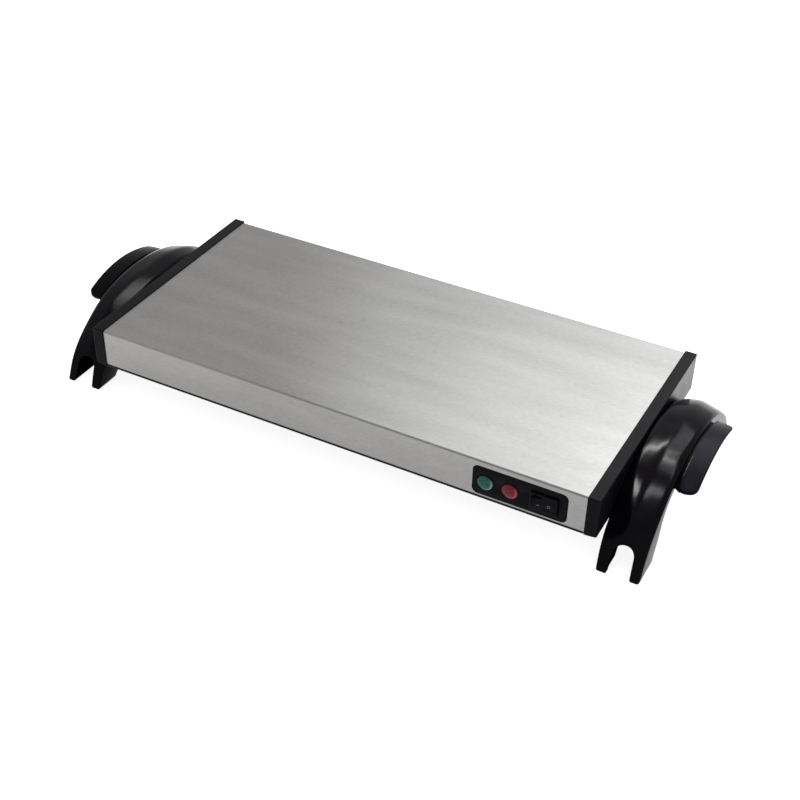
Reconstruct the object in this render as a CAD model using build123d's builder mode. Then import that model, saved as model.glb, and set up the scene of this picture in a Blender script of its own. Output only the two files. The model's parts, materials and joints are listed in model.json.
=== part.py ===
from build123d import *
import os
from math import cos, hypot, radians, sin, sqrt

os.makedirs("parts", exist_ok=True)

# Electric food warmer tray, in millimetres.
# X runs along the tray, -Y is the front with the switch, Z = 0 is where the feet stand.

# Overall sizes
body_length = 500.0
body_depth = 236.6
body_height = 39.4
body_lift = 33.1

body_top = body_lift + body_height
body_middle = body_lift + body_height / 2

# Brushed steel sleeve: top plate, two skirts and two turned-in flanges
cap_width = 11.0
cap_proud = 1.0
sheet = 0.8
bend_radius = 2.0
flange_width = 14.0

sleeve_length = body_length - 2 * cap_width
sleeve_depth = body_depth - 2 * cap_proud
sleeve_top = body_top - cap_proud
sleeve_bottom = body_lift + cap_proud
sleeve_height = sleeve_top - sleeve_bottom
sleeve_middle = (sleeve_top + sleeve_bottom) / 2
front_y = -sleeve_depth / 2
front_inside_y = front_y + sheet
rear_y = sleeve_depth / 2
rear_inside_y = rear_y - sheet
ceiling = sleeve_top - sheet
flange_top = sleeve_bottom + sheet
sleeve_end = sleeve_length / 2

# Bottom cover and its screws
cover_sheet = 0.8
cover_side_gap = 1.0
cover_end_gap = 0.4
slot_length = 34.0
slot_width = 3.2
slot_pitch = 12.0
slot_columns = 2
slot_rows = 6
slot_column_inset = 133.6
bottom_screw_rows = 4
bottom_screw_inset = 9.0
screw_shank = 3.0
screw_clearance = 0.2
pilot_clearance = 0.05
screw_length = 9.0
screw_head = 6.0
screw_head_height = 1.9
screw_head_round = 0.8

cover_top = sleeve_bottom
cover_bottom = cover_top - cover_sheet
cover_length = sleeve_length - 2 * cover_end_gap
cover_depth = sleeve_depth - 2 * cover_side_gap
slot_column_pitch = cover_length - 2 * slot_column_inset
bottom_screw_y = rear_y - bottom_screw_inset

# End caps
cap_round = 0.9
cap_bevel = 1.6
cap_wall = 3.5
cap_end_wall = 3.0
spigot_length = 12.0
spigot_wall = 2.2
spigot_gap = 0.3
cap_boss = 8.0
cap_boss_height = 11.0

cap_inner_x = body_length / 2 - cap_width
cap_outer_x = body_length / 2
spigot_x = cap_inner_x - spigot_length
spigot_depth = sleeve_depth - 2 * (sheet + spigot_gap)
spigot_low = flange_top + spigot_gap
spigot_high = ceiling - spigot_gap
spigot_height = spigot_high - spigot_low
spigot_middle = (spigot_high + spigot_low) / 2
corner_screw_x = (spigot_x + cap_inner_x) / 2
bottom_screw_pitch_x = 2 * corner_screw_x / (bottom_screw_rows - 1)

# Handles: an arch on two forked feet, a creased ridge along it, a grip lip outside it
handle_width = 40.0
handle_inset = 1.3
handle_drop = 3.3
handle_wall = 2.8
ridge_rise = 8.8
foot_length = 30.0
cavity_overrun = 15.0
inner_round = 2.0
outer_round = 1.3

handle_half_depth = body_depth / 2 - handle_inset
handle_crest = body_top - handle_drop

# Stations of the arch from foot to middle, as shares of half its depth and of its crest height
arch_y_share = (-1.028, -0.973, -0.923, -0.857, -0.774, -0.667, -0.534, -0.376, -0.192, 0.0)
arch_z_share = (-0.116, 0.108, 0.275, 0.419, 0.549, 0.682, 0.817, 0.919, 0.983, 1.0)
# How far the ridge stands up, as shares of its greatest rise
ridge_share = (0.03, 0.06, 0.14, 0.33, 0.55, 0.65, 0.64, 0.52, 0.44, 0.42)
# The creases beside the ridge, across the handle as shares of its width, up as shares of the ridge
inner_crease_x_share = (0.24, 0.24, 0.27, 0.36, 0.42, 0.36, 0.22, 0.135, 0.105, 0.10)
inner_crease_n_share = (0.5, 0.5, 0.6, 0.75, 0.88, 0.8, 0.65, 0.6, 0.72, 0.75)
outer_crease_x_share = (0.775, 0.775, 0.78, 0.82, 0.88, 0.915, 0.92, 0.92, 0.925, 0.93)
outer_crease_n_share = (0.5, 0.5, 0.45, 0.35, 0.3, 0.25, 0.25, 0.25, 0.35, 0.4)
inner_edge_n_share = (0.0, 0.0, 0.0, 0.0, 0.0, 0.0, 0.0, 0.05, 0.2, 0.25)
# Depth of the side walls, as shares of the foot's length
inner_wall_share = (0.7, 0.73, 0.8, 0.8, 0.7, 0.43, 0.33, 0.38, 0.45, 0.46)
outer_wall_share = (1.0, 1.0, 0.93, 0.88, 0.74, 0.43, 0.31, 0.37, 0.43, 0.45)
# The channel inside: thick prongs at the feet, thin walls over the span, as shares of the width
cavity_inner_share = (0.2625, 0.2625, 0.2625, 0.23, 0.15, 0.09, 0.07, 0.07, 0.07, 0.07)
cavity_outer_share = (0.795, 0.795, 0.795, 0.825, 0.875, 0.915, 0.93, 0.93, 0.93, 0.93)

# Notch that forks each foot
notch_height = 28.5
notch_top_width = 18.0
notch_foot_width = 22.0
notch_centre_share = 0.52
# Rounds on the corners of the prongs, and the slope of the inner one under the cap
prong_round = 2.0
prong_draft = 2.6

# Grip lip
lip_reach = 19.0
lip_radius = 118.0
lip_thickness = 2.6
lip_drop = 0.7
lip_root_half = 51.0
lip_tip_half = 47.0
lip_corner = 7.0
lip_groove = 2.5
lip_groove_depth = 2.4
lip_embed = 1.6

# Screws that hold each handle through the end cap
handle_screw_shank = 4.0
handle_screw_head = 8.0
handle_screw_head_height = 2.6
handle_screw_head_round = 1.0
handle_screw_y = 38.0
handle_screw_drop = 14.0
handle_screw_bite = 11.0
handle_boss = 9.5
handle_boss_length = 15.0
plate_length = 104.0
plate_height = 16.0
plate_thickness = 1.5
plate_corner = 3.0

handle_screw_z = body_top - handle_screw_drop
plate_outer_x = cap_outer_x - cap_end_wall
plate_inner_x = plate_outer_x - plate_thickness

# Control panel
panel_end_gap = 15.6
panel_drop = 20.85
panel_length = 85.2
panel_height = 29.3
panel_corner = 5.5
panel_gap = 0.5
panel_recess = 0.25
panel_flange_x = 1.5
panel_flange_z = 0.6
panel_flange_thickness = 1.6
indicator_drop = 22.0
green_lens_share = -0.3615
red_lens_share = -0.1
switch_share = 0.2545

panel_x = sleeve_end - panel_end_gap - panel_length / 2
panel_z = body_top - panel_drop
panel_face_y = front_y + panel_recess
panel_back_y = front_inside_y + panel_flange_thickness
indicator_z = body_top - indicator_drop
green_lens_x = panel_x + green_lens_share * panel_length
red_lens_x = panel_x + red_lens_share * panel_length
switch_x = panel_x + switch_share * panel_length

# Indicator lenses and the lamps behind them
lens_diameter = 13.6
lens_rim = 0.9
lens_dome = 2.7
lens_shoulder_share = 0.5
lens_shoulder_drop = 0.42
lens_stem = 10.0
lens_bore = 7.6
lens_depth = 9.0
lens_roof = 1.6
lens_fit = 0.05
lamp_diameter = 7.4
lamp_length = 13.0
lamp_collar = 9.6
lamp_collar_length = 5.0
lamp_blade_width = 2.8
lamp_blade_thickness = 0.5
lamp_blade_length = 7.0
lamp_blade_pitch = 4.4


# Rocker switch: the rocker turns on two trunnions about an upright axis
rocker_radius = 10.2
rocker_width = 11.0
rocker_tilt = 11.0
rocker_face = 2.0
rocker_floor = 2.0
rocker_nib = 5.6
rocker_nib_half = 1.6
rocker_gap = 0.2
trunnion = 2.4
trunnion_reach = 1.2
trunnion_gap = 0.05
frame_wall = 1.2
frame_lip_x = 0.8
frame_lip_z = 1.6
frame_lip = 2.0
frame_lip_corner = 1.6
frame_face = 2.3
frame_depth = 13.0
frame_floor = 1.6
switch_blade_width = 4.8
switch_blade_thickness = 0.8
switch_blade_length = 8.0
switch_blade_pitch = 7.0
contact_height = 2.2
contact_diameter = 3.0

switch_face_y = panel_face_y - frame_lip
pivot_y = switch_face_y + frame_face
aperture_length = 2 * (rocker_radius + rocker_gap)
aperture_width = rocker_width + 2 * rocker_gap
frame_box_length = aperture_length + 2 * frame_wall
frame_box_width = aperture_width + 2 * frame_wall
frame_back_y = panel_face_y + frame_depth

# Appliance inlet in the rear skirt
inlet_end_gap = 32.6
inlet_flange_length = 50.0
inlet_flange_height = 24.0
inlet_flange_corner = 3.0
inlet_flange_thickness = 3.0
inlet_body_length = 28.4
inlet_body_height = 20.6
inlet_body_corner = 3.0
inlet_body_depth = 19.0
inlet_cut_gap = 0.3
inlet_mouth_length = 24.6
inlet_mouth_height = 16.8
inlet_mouth_depth = 16.0
inlet_mouth_bevel = 5.0
inlet_pin_width = 2.0
inlet_pin_height = 4.0
inlet_pin_length = 13.0
inlet_pin_tail = 8.0
inlet_pin_pitch = 14.0
inlet_pin_step = 2.0
inlet_screw_pitch = 40.0
inlet_screw_shank = 3.4
inlet_screw_head = 6.4
inlet_screw_head_height = 1.9
inlet_screw_length = 10.0
inlet_nut_across = 5.5
inlet_nut_height = 2.4

inlet_x = sleeve_end - inlet_end_gap - inlet_flange_length / 2
inlet_tail_y = rear_y - inlet_body_depth - inlet_pin_tail

# Heater under the top plate: spreader, mica sandwich, blanket and pressure plate on six studs
heater_left_gap = 12.0
heater_right_gap = 32.0
heater_side_gap = 2.3
spreader_thickness = 1.0
mica_thickness = 0.4
core_thickness = 0.6
ribbon_thickness = 0.2
ribbon_width = 2.5
ribbon_pitch = 15.0
ribbon_margin = 6.0
blanket_thickness = 6.0
pressure_sheet = 0.8
pressure_rim = 5.0
stud_diameter = 4.0
stud_gap = 0.3
stud_end_inset = 55.0
stud_side_inset = 18.0
stud_tail = 6.0
nut_across = 7.0
nut_height = 3.2

heater_length = 2 * spigot_x - heater_left_gap - heater_right_gap
heater_depth = 2 * (inlet_tail_y - heater_side_gap)
heater_x = (heater_left_gap - heater_right_gap) / 2
stud_pitch_x = heater_length / 2 - stud_end_inset
stud_pitch_y = heater_depth - 2 * stud_side_inset
spreader_low = ceiling - spreader_thickness
upper_mica_low = spreader_low - mica_thickness
ribbon_low = upper_mica_low - ribbon_thickness
core_low = ribbon_low - core_thickness
lower_mica_low = core_low - mica_thickness
blanket_low = lower_mica_low - blanket_thickness
pressure_low = blanket_low - pressure_sheet
stud_low = pressure_low - stud_tail
nut_low = pressure_low - nut_height
ribbon_count = 2 * int((heater_length / 2 - ribbon_margin) / ribbon_pitch)
ribbon_half = heater_depth / 2 - ribbon_margin

# Thermostat and thermal fuse under the pressure plate
thermostat_offset = 70.0
thermostat_can = 16.0
thermostat_can_height = 3.5
thermostat_body = 14.0
thermostat_body_height = 7.0
thermostat_ear = 24.0
thermostat_ear_width = 8.0
thermostat_ear_thickness = 0.8
thermostat_blade_width = 6.3
thermostat_blade_thickness = 0.8
thermostat_blade_length = 8.0
fuse_offset = 50.0
fuse_diameter = 4.2
fuse_length = 14.0
fuse_lead = 1.0
fuse_lead_length = 10.0
clip_sheet = 0.6
clip_width = 8.0
clip_foot = 6.0
clip_gap = 0.05
small_head = 5.0
small_head_height = 1.8
small_shank = 3.0
small_shank_length = 4.0

thermostat_x = heater_x + thermostat_offset
fuse_x = heater_x - fuse_offset
fuse_z = pressure_low - fuse_diameter / 2
clip_radius = fuse_diameter / 2 + clip_gap
clip_half = clip_radius + clip_sheet + clip_foot
clip_screw_y = clip_radius + clip_sheet + clip_foot / 2
thermostat_z = pressure_low - thermostat_can_height

# Terminal block and earth stud on the bottom cover
block_end_gap = 5.0
block_rear_gap = 50.5
block_length = 34.0
block_width = 20.0
block_height = 14.0
block_base_height = 4.0
block_ways = 3
block_way_length = 8.6
block_screw = 4.0
block_screw_sink = 1.0
block_tunnel = 4.0
earth_pitch = 36.0
earth_stud_length = 15.0
earth_tag_thickness = 0.8
earth_tag_ring = 8.5
earth_tag_length = 16.0
earth_tag_width = 4.0

block_x = spigot_x - block_end_gap - block_length / 2
block_y = rear_inside_y - block_rear_gap - block_width / 2
earth_x = block_x
earth_y = block_y - earth_pitch


def finish(piece, label):
    """Name a finished piece and write it to its own file."""
    piece.part.label = label
    export_step(piece.part, f"parts/{label}.step")


def arch_stations():
    """Places of the handle's sections: origin in Y and Z and the direction along the arch."""
    front = [(y * handle_half_depth, z * handle_crest) for y, z in zip(arch_y_share, arch_z_share)]
    points = front + [(-y, z) for y, z in reversed(front[:-1])]
    stations = []
    for index, (y, z) in enumerate(points):
        before = points[max(index - 1, 0)]
        after = points[min(index + 1, len(points) - 1)]
        run = after[0] - before[0]
        rise = after[1] - before[1]
        length = hypot(run, rise)
        stations.append((y, z, run / length, rise / length))
    return stations


def mirrored(shares):
    """Shares for the whole arch from those of its front half."""
    return tuple(shares) + tuple(reversed(shares[:-1]))


# Bottom screw places, shared by the cover, the sleeve's flanges and the end caps
bottom_screw_places = [
    (column * bottom_screw_pitch_x - corner_screw_x, side * bottom_screw_y)
    for column in range(bottom_screw_rows)
    for side in (-1, 1)
]

# Stud places, shared by every layer of the heater
stud_places = [
    (heater_x + column * stud_pitch_x, row * stud_pitch_y / 2)
    for column in (-1, 0, 1)
    for row in (-1, 1)
]

# Screws of the thermostat's ears and of the fuse clip's feet
ear_screw_places = [(thermostat_x + side * thermostat_ear / 2, 0) for side in (-1, 1)]
clip_screw_places = [(fuse_x, side * clip_screw_y) for side in (-1, 1)]

# Inlet pins, terminal block ways and block screws, by the centre of each
mouth_floor_y = rear_y + inlet_flange_thickness - inlet_mouth_depth
inlet_pin_places = (
    (inlet_x - inlet_pin_pitch / 2, sleeve_middle - inlet_pin_step),
    (inlet_x, sleeve_middle + inlet_pin_step),
    (inlet_x + inlet_pin_pitch / 2, sleeve_middle - inlet_pin_step),
)
block_pitch = (block_length - block_way_length) / (block_ways - 1)
block_places = [(block_x + (way - (block_ways - 1) / 2) * block_pitch, block_y) for way in range(block_ways)]
block_screw_places = [(x, y + side * block_width / 4) for x, y in block_places for side in (-1, 1)]

# Planes that face out of the front skirt, out of the rear skirt and along the tray
front_face = Plane.XZ.offset(-front_y)
panel_face = Plane.XZ.offset(-panel_face_y)
rear_face = Plane.XZ.offset(-rear_y)

# Steel sleeve
with BuildPart() as steel_sleeve:
    with BuildSketch(Plane.YZ.offset(-sleeve_end)):
        with Locations((0, sleeve_middle)):
            RectangleRounded(sleeve_depth, sleeve_height, bend_radius)
            RectangleRounded(
                sleeve_depth - 2 * sheet, sleeve_height - 2 * sheet, bend_radius - sheet, mode=Mode.SUBTRACT
            )
        with Locations((0, sleeve_bottom)):
            Rectangle(sleeve_depth - 2 * flange_width, 4 * sheet, mode=Mode.SUBTRACT)
    extrude(amount=sleeve_length)
    with BuildSketch(front_face):
        with Locations((panel_x, panel_z)):
            RectangleRounded(panel_length, panel_height, panel_corner)
    extrude(amount=-sheet, mode=Mode.SUBTRACT)
    with BuildSketch(rear_face):
        with Locations((inlet_x, sleeve_middle)):
            RectangleRounded(
                inlet_body_length + 2 * inlet_cut_gap, inlet_body_height + 2 * inlet_cut_gap, inlet_body_corner
            )
            with GridLocations(inlet_screw_pitch, 0, 2, 1):
                Circle(inlet_screw_shank / 2 + screw_clearance)
    extrude(amount=sheet, mode=Mode.SUBTRACT)
    with BuildSketch(Plane.XY.offset(sleeve_bottom)):
        with Locations(*bottom_screw_places):
            Circle(screw_shank / 2 + pilot_clearance)
    extrude(amount=sheet, mode=Mode.SUBTRACT)
finish(steel_sleeve, "steel_sleeve")

# Bottom cover with two banks of vent slots
with BuildPart() as bottom_cover:
    with BuildSketch(Plane.XY.offset(cover_bottom)):
        Rectangle(cover_length, cover_depth)
        with Locations(*bottom_screw_places):
            Circle(screw_shank / 2 + screw_clearance, mode=Mode.SUBTRACT)
        with GridLocations(slot_column_pitch, slot_pitch, slot_columns, slot_rows):
            SlotOverall(slot_length, slot_width, mode=Mode.SUBTRACT)
    extrude(amount=cover_sheet)
finish(bottom_cover, "bottom_cover")

# Bottom screws: pan heads under the cover
with BuildPart() as bottom_screws:
    with Locations(*[(x, y, cover_bottom) for x, y in bottom_screw_places]):
        Cylinder(screw_head / 2, screw_head_height, align=(Align.CENTER, Align.CENTER, Align.MAX))
    chamfer(bottom_screws.edges().group_by(Axis.Z)[0], screw_head_round)
    with Locations(*[(x, y, cover_bottom) for x, y in bottom_screw_places]):
        Cylinder(screw_shank / 2, screw_length, align=(Align.CENTER, Align.CENTER, Align.MIN))
finish(bottom_screws, "bottom_screws")

# Right end cap: an outer frame, a spigot inside the sleeve and two screw bosses
with BuildPart() as right_end_cap:
    with BuildSketch(Plane.YZ.offset(cap_inner_x)):
        with Locations((0, body_middle)):
            Rectangle(body_depth, body_height)
    extrude(amount=cap_width)
    outer_rim = right_end_cap.edges().group_by(Axis.X)[-1]
    fillet(outer_rim + right_end_cap.edges().filter_by(Axis.X), cap_round)
    with BuildSketch(Plane.XZ.offset(-body_depth)):
        with BuildLine():
            Polyline(
                (cap_inner_x, body_lift),
                (cap_inner_x, body_lift - cap_bevel),
                (cap_outer_x, body_lift - cap_bevel),
                (cap_outer_x, body_lift + cap_bevel),
                close=True,
            )
        make_face()
    extrude(amount=2 * body_depth, mode=Mode.SUBTRACT)
    with BuildSketch(Plane.YZ.offset(cap_inner_x)):
        with Locations((0, body_middle)):
            Rectangle(body_depth - 2 * cap_wall, body_height - 2 * cap_wall)
    extrude(amount=cap_width - cap_end_wall, mode=Mode.SUBTRACT)
    with BuildSketch(Plane.YZ.offset(spigot_x)):
        with Locations((0, spigot_middle)):
            RectangleRounded(spigot_depth, spigot_height, bend_radius)
            Rectangle(spigot_depth - 2 * spigot_wall, spigot_height - 2 * spigot_wall, mode=Mode.SUBTRACT)
    extrude(amount=spigot_length)
    with Locations(*[(corner_screw_x, side * bottom_screw_y, spigot_low) for side in (-1, 1)]):
        Cylinder(cap_boss / 2, cap_boss_height, align=(Align.CENTER, Align.CENTER, Align.MIN))
    with Locations(*[(corner_screw_x, side * bottom_screw_y, spigot_low) for side in (-1, 1)]):
        Cylinder(
            screw_shank / 2 + pilot_clearance,
            screw_length,
            align=(Align.CENTER, Align.CENTER, Align.MIN),
            mode=Mode.SUBTRACT,
        )
    with BuildSketch(Plane.YZ.offset(cap_outer_x)):
        with Locations(*[(side * handle_screw_y, handle_screw_z) for side in (-1, 1)]):
            Circle(handle_screw_shank / 2 + screw_clearance)
    extrude(amount=-cap_end_wall, mode=Mode.SUBTRACT)
finish(right_end_cap, "right_end_cap")

with BuildPart() as left_end_cap:
    mirror(right_end_cap.part, about=Plane.YZ)
finish(left_end_cap, "left_end_cap")

# Right screw plate, which spreads the load of the handle screws over the end wall
with BuildPart() as right_screw_plate:
    with BuildSketch(Plane.YZ.offset(plate_inner_x)):
        with Locations((0, handle_screw_z)):
            RectangleRounded(plate_length, plate_height, plate_corner)
            with GridLocations(2 * handle_screw_y, 0, 2, 1):
                Circle(handle_screw_shank / 2 + screw_clearance, mode=Mode.SUBTRACT)
    extrude(amount=plate_thickness)
finish(right_screw_plate, "right_screw_plate")

with BuildPart() as left_screw_plate:
    mirror(right_screw_plate.part, about=Plane.YZ)
finish(left_screw_plate, "left_screw_plate")

# Handle screws, through plate and end wall into the handle's bosses
handle_screw_span = plate_thickness + cap_end_wall + handle_screw_bite
with BuildPart() as right_handle_screws:
    with BuildSketch(Plane.YZ.offset(plate_inner_x)):
        with Locations(*[(side * handle_screw_y, handle_screw_z) for side in (-1, 1)]):
            Circle(handle_screw_head / 2)
    extrude(amount=-handle_screw_head_height)
    chamfer(right_handle_screws.edges().group_by(Axis.X)[0], handle_screw_head_round)
    with BuildSketch(Plane.YZ.offset(plate_inner_x)):
        with Locations(*[(side * handle_screw_y, handle_screw_z) for side in (-1, 1)]):
            Circle(handle_screw_shank / 2)
    extrude(amount=handle_screw_span)
with BuildPart() as handle_screws:
    add(right_handle_screws.part)
    mirror(right_handle_screws.part, about=Plane.YZ)
finish(handle_screws, "handle_screws")

# Right handle, as a skin lofted through sections square to the arch
stations = arch_stations()
section_shares = list(
    zip(
        mirrored(ridge_share),
        mirrored(inner_crease_x_share),
        mirrored(inner_crease_n_share),
        mirrored(outer_crease_x_share),
        mirrored(outer_crease_n_share),
        mirrored(inner_edge_n_share),
        mirrored(inner_wall_share),
        mirrored(outer_wall_share),
        mirrored(cavity_inner_share),
        mirrored(cavity_outer_share),
    )
)


def section_plane(station):
    """The plane of one section: x across the handle, y out of the arch."""
    y, z, along, up = station
    return Plane(origin=(cap_outer_x, y, z), x_dir=(1, 0, 0), z_dir=(0, -along, -up))


with BuildPart() as right_handle:
    for station, shares in zip(stations, section_shares):
        ridge, inner_x, inner_n, outer_x, outer_n, edge_n, inner_wall, outer_wall, _, _ = shares
        rise = ridge * ridge_rise
        with BuildSketch(section_plane(station)):
            with BuildLine():
                Polyline(
                    (0, -inner_wall * foot_length),
                    (0, edge_n * rise - inner_round),
                    (inner_round, edge_n * rise + edge_n * inner_round),
                    (inner_x * handle_width, inner_n * rise),
                    (handle_width / 2, rise),
                    (outer_x * handle_width, outer_n * rise),
                    (handle_width - outer_round, 0),
                    (handle_width, -outer_round),
                    (handle_width, -outer_wall * foot_length),
                    close=True,
                )
            make_face()
    loft()
    for station, shares in zip(stations, section_shares):
        ridge, _, _, _, _, _, inner_wall, outer_wall, channel_inner, channel_outer = shares
        rise = ridge * ridge_rise
        with BuildSketch(section_plane(station)):
            with BuildLine():
                Polyline(
                    (channel_inner * handle_width, -inner_wall * foot_length - cavity_overrun),
                    (channel_inner * handle_width, -handle_wall),
                    (handle_width / 2, rise - handle_wall),
                    (channel_outer * handle_width, -handle_wall),
                    (channel_outer * handle_width, -outer_wall * foot_length - cavity_overrun),
                    close=True,
                )
            make_face()
    loft(mode=Mode.SUBTRACT)
    # Bosses for the handle screws, inside the channel
    with BuildSketch(Plane.YZ.offset(cap_outer_x)):
        with Locations(*[(side * handle_screw_y, handle_screw_z) for side in (-1, 1)]):
            Circle(handle_boss / 2)
    extrude(amount=handle_boss_length)
    with BuildSketch(Plane.YZ.offset(cap_outer_x)):
        with Locations(*[(side * handle_screw_y, handle_screw_z) for side in (-1, 1)]):
            Circle(handle_screw_shank / 2 + pilot_clearance)
    extrude(amount=handle_screw_bite, mode=Mode.SUBTRACT)
    # Feet cut flat, and a notch with a round top that forks each of them
    with BuildSketch(Plane.XY):
        with Locations((cap_outer_x + handle_width / 2, 0)):
            Rectangle(2 * handle_width, 2 * body_depth)
    extrude(amount=-handle_crest, mode=Mode.SUBTRACT)
    with BuildSketch(Plane.XZ.offset(body_depth)):
        with BuildLine():
            notch_x = cap_outer_x + notch_centre_share * handle_width
            notch_radius = notch_top_width / 2
            notch_flare = (notch_foot_width - notch_top_width) / 2 / (notch_height - notch_radius)
            notch_side = notch_foot_width / 2 - notch_flare * prong_round
            Line((notch_x - notch_radius, notch_height - notch_radius), (notch_x - notch_side, prong_round))
            RadiusArc((notch_x - notch_side, prong_round), (notch_x - notch_side - prong_round, 0), prong_round)
            Line((notch_x - notch_side - prong_round, 0), (notch_x + notch_side + prong_round, 0))
            RadiusArc((notch_x + notch_side + prong_round, 0), (notch_x + notch_side, prong_round), prong_round)
            Line((notch_x + notch_side, prong_round), (notch_x + notch_radius, notch_height - notch_radius))
            ThreePointArc(
                (notch_x + notch_radius, notch_height - notch_radius),
                (notch_x, notch_height),
                (notch_x - notch_radius, notch_height - notch_radius),
            )
        make_face()
    extrude(amount=-2 * body_depth, mode=Mode.SUBTRACT)
    # The inner prong slopes away from the cap, and the outer corners of both prongs are rounded
    prong_inner_x = cap_outer_x + prong_draft * (1 - prong_round / body_lift)
    prong_outer_x = cap_outer_x + handle_width
    with BuildSketch(Plane.XZ.offset(body_depth)):
        with BuildLine():
            Polyline(
                (prong_inner_x + prong_round, 0),
                (cap_outer_x - prong_round, 0),
                (cap_outer_x - prong_round, body_lift),
                (cap_outer_x, body_lift),
                (prong_inner_x, prong_round),
            )
            RadiusArc((prong_inner_x, prong_round), (prong_inner_x + prong_round, 0), -prong_round)
        make_face()
        with BuildLine():
            Polyline(
                (prong_outer_x - prong_round, 0), (prong_outer_x + prong_round, 0),
                (prong_outer_x + prong_round, prong_round), (prong_outer_x, prong_round),
            )
            RadiusArc((prong_outer_x, prong_round), (prong_outer_x - prong_round, 0), prong_round)
        make_face()
    extrude(amount=-2 * body_depth, mode=Mode.SUBTRACT)

# Grip lip: an arched band with rounded outer corners and a groove along its root
lip_top = handle_crest - lip_drop
lip_centre_z = lip_top - lip_radius
lip_root_x = cap_outer_x + handle_width
with BuildPart() as lip:
    with BuildSketch(Plane.YZ.offset(lip_root_x + lip_groove)):
        with Locations((0, lip_centre_z)):
            Circle(lip_radius)
            Circle(lip_radius - lip_thickness, mode=Mode.SUBTRACT)
    extrude(amount=lip_reach - lip_groove)
    with BuildSketch(Plane.YZ.offset(lip_root_x - lip_embed)):
        with Locations((0, lip_centre_z)):
            Circle(lip_radius - lip_groove_depth)
            Circle(lip_radius - lip_groove_depth - lip_thickness, mode=Mode.SUBTRACT)
    extrude(amount=lip_embed + lip_groove + lip_thickness)
    with BuildSketch(Plane.XY.offset(lip_centre_z)) as lip_plan:
        with BuildLine():
            Polyline(
                (lip_root_x - lip_embed, -lip_root_half),
                (lip_root_x + lip_groove, -lip_root_half),
                (lip_root_x + lip_reach, -lip_tip_half),
                (lip_root_x + lip_reach, lip_tip_half),
                (lip_root_x + lip_groove, lip_root_half),
                (lip_root_x - lip_embed, lip_root_half),
                close=True,
            )
        make_face()
        fillet(lip_plan.vertices().group_by(Axis.X)[-1], lip_corner)
    extrude(amount=2 * lip_radius, mode=Mode.INTERSECT)
with BuildPart() as right_handle_whole:
    add(right_handle.part)
    add(lip.part)
finish(right_handle_whole, "right_handle")

with BuildPart() as left_handle:
    mirror(right_handle_whole.part, about=Plane.YZ)
finish(left_handle, "left_handle")

# Control panel: a plate let into the front skirt, with a flange behind it
with BuildPart() as control_panel:
    with BuildSketch(panel_face):
        with Locations((panel_x, panel_z)):
            RectangleRounded(panel_length - 2 * panel_gap, panel_height - 2 * panel_gap, panel_corner - panel_gap)
    extrude(amount=panel_face_y - panel_back_y)
    with BuildSketch(Plane.XZ.offset(-front_inside_y)):
        with Locations((panel_x, panel_z)):
            RectangleRounded(
                panel_length + 2 * panel_flange_x, panel_height + 2 * panel_flange_z, panel_corner + panel_flange_z
            )
    extrude(amount=-panel_flange_thickness)
    with BuildSketch(panel_face):
        with Locations((green_lens_x, indicator_z), (red_lens_x, indicator_z)):
            Circle(lens_stem / 2 + lens_fit)
        with Locations((switch_x, indicator_z)):
            Rectangle(frame_box_length + 2 * lens_fit, frame_box_width + 2 * lens_fit)
    extrude(amount=panel_face_y - panel_back_y, mode=Mode.SUBTRACT)
finish(control_panel, "control_panel")

# Indicator lenses: domed caps with a rim on the panel and a stem through it
for lens_name, lens_x in (("green_lens", green_lens_x), ("red_lens", red_lens_x)):
    lens_axis = Axis((lens_x, 0, indicator_z), (0, 1, 0))
    with BuildPart() as lens:
        with BuildSketch(Plane(origin=(lens_x, panel_face_y, indicator_z), x_dir=(1, 0, 0), z_dir=(0, 0, 1))):
            with BuildLine():
                ThreePointArc(
                    (0, -lens_dome),
                    (lens_shoulder_share * lens_diameter / 2, -lens_dome + lens_shoulder_drop),
                    (lens_diameter / 2, -lens_rim),
                )
                Polyline(
                    (lens_diameter / 2, -lens_rim),
                    (lens_diameter / 2, 0),
                    (lens_stem / 2, 0),
                    (lens_stem / 2, lens_depth),
                    (lens_bore / 2, lens_depth),
                    (lens_bore / 2, 0),
                    (0, 0),
                    (0, -lens_dome),
                )
            make_face()
        revolve(axis=lens_axis)
    finish(lens, lens_name)

# Lamps: a glass-bodied lamp in each stem, with a collar behind it and two blades
for lamp_name, lamp_x in (("green_lamp", green_lens_x), ("red_lamp", red_lens_x)):
    lamp_seat_y = panel_face_y + lens_depth
    with BuildPart() as lamp:
        with BuildSketch(Plane.XZ.offset(-lamp_seat_y)):
            with Locations((lamp_x, indicator_z)):
                Circle(lamp_diameter / 2)
        extrude(amount=lens_depth - lens_roof)
        with BuildSketch(Plane.XZ.offset(-lamp_seat_y)):
            with Locations((lamp_x, indicator_z)):
                Circle(lamp_collar / 2)
        extrude(amount=-lamp_collar_length)
        with BuildSketch(Plane.XZ.offset(-lamp_seat_y - lamp_collar_length)):
            with Locations((lamp_x, indicator_z)):
                with GridLocations(lamp_blade_pitch, 0, 2, 1):
                    Rectangle(lamp_blade_thickness, lamp_blade_width)
        extrude(amount=-lamp_blade_length)
    finish(lamp, lamp_name)

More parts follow.
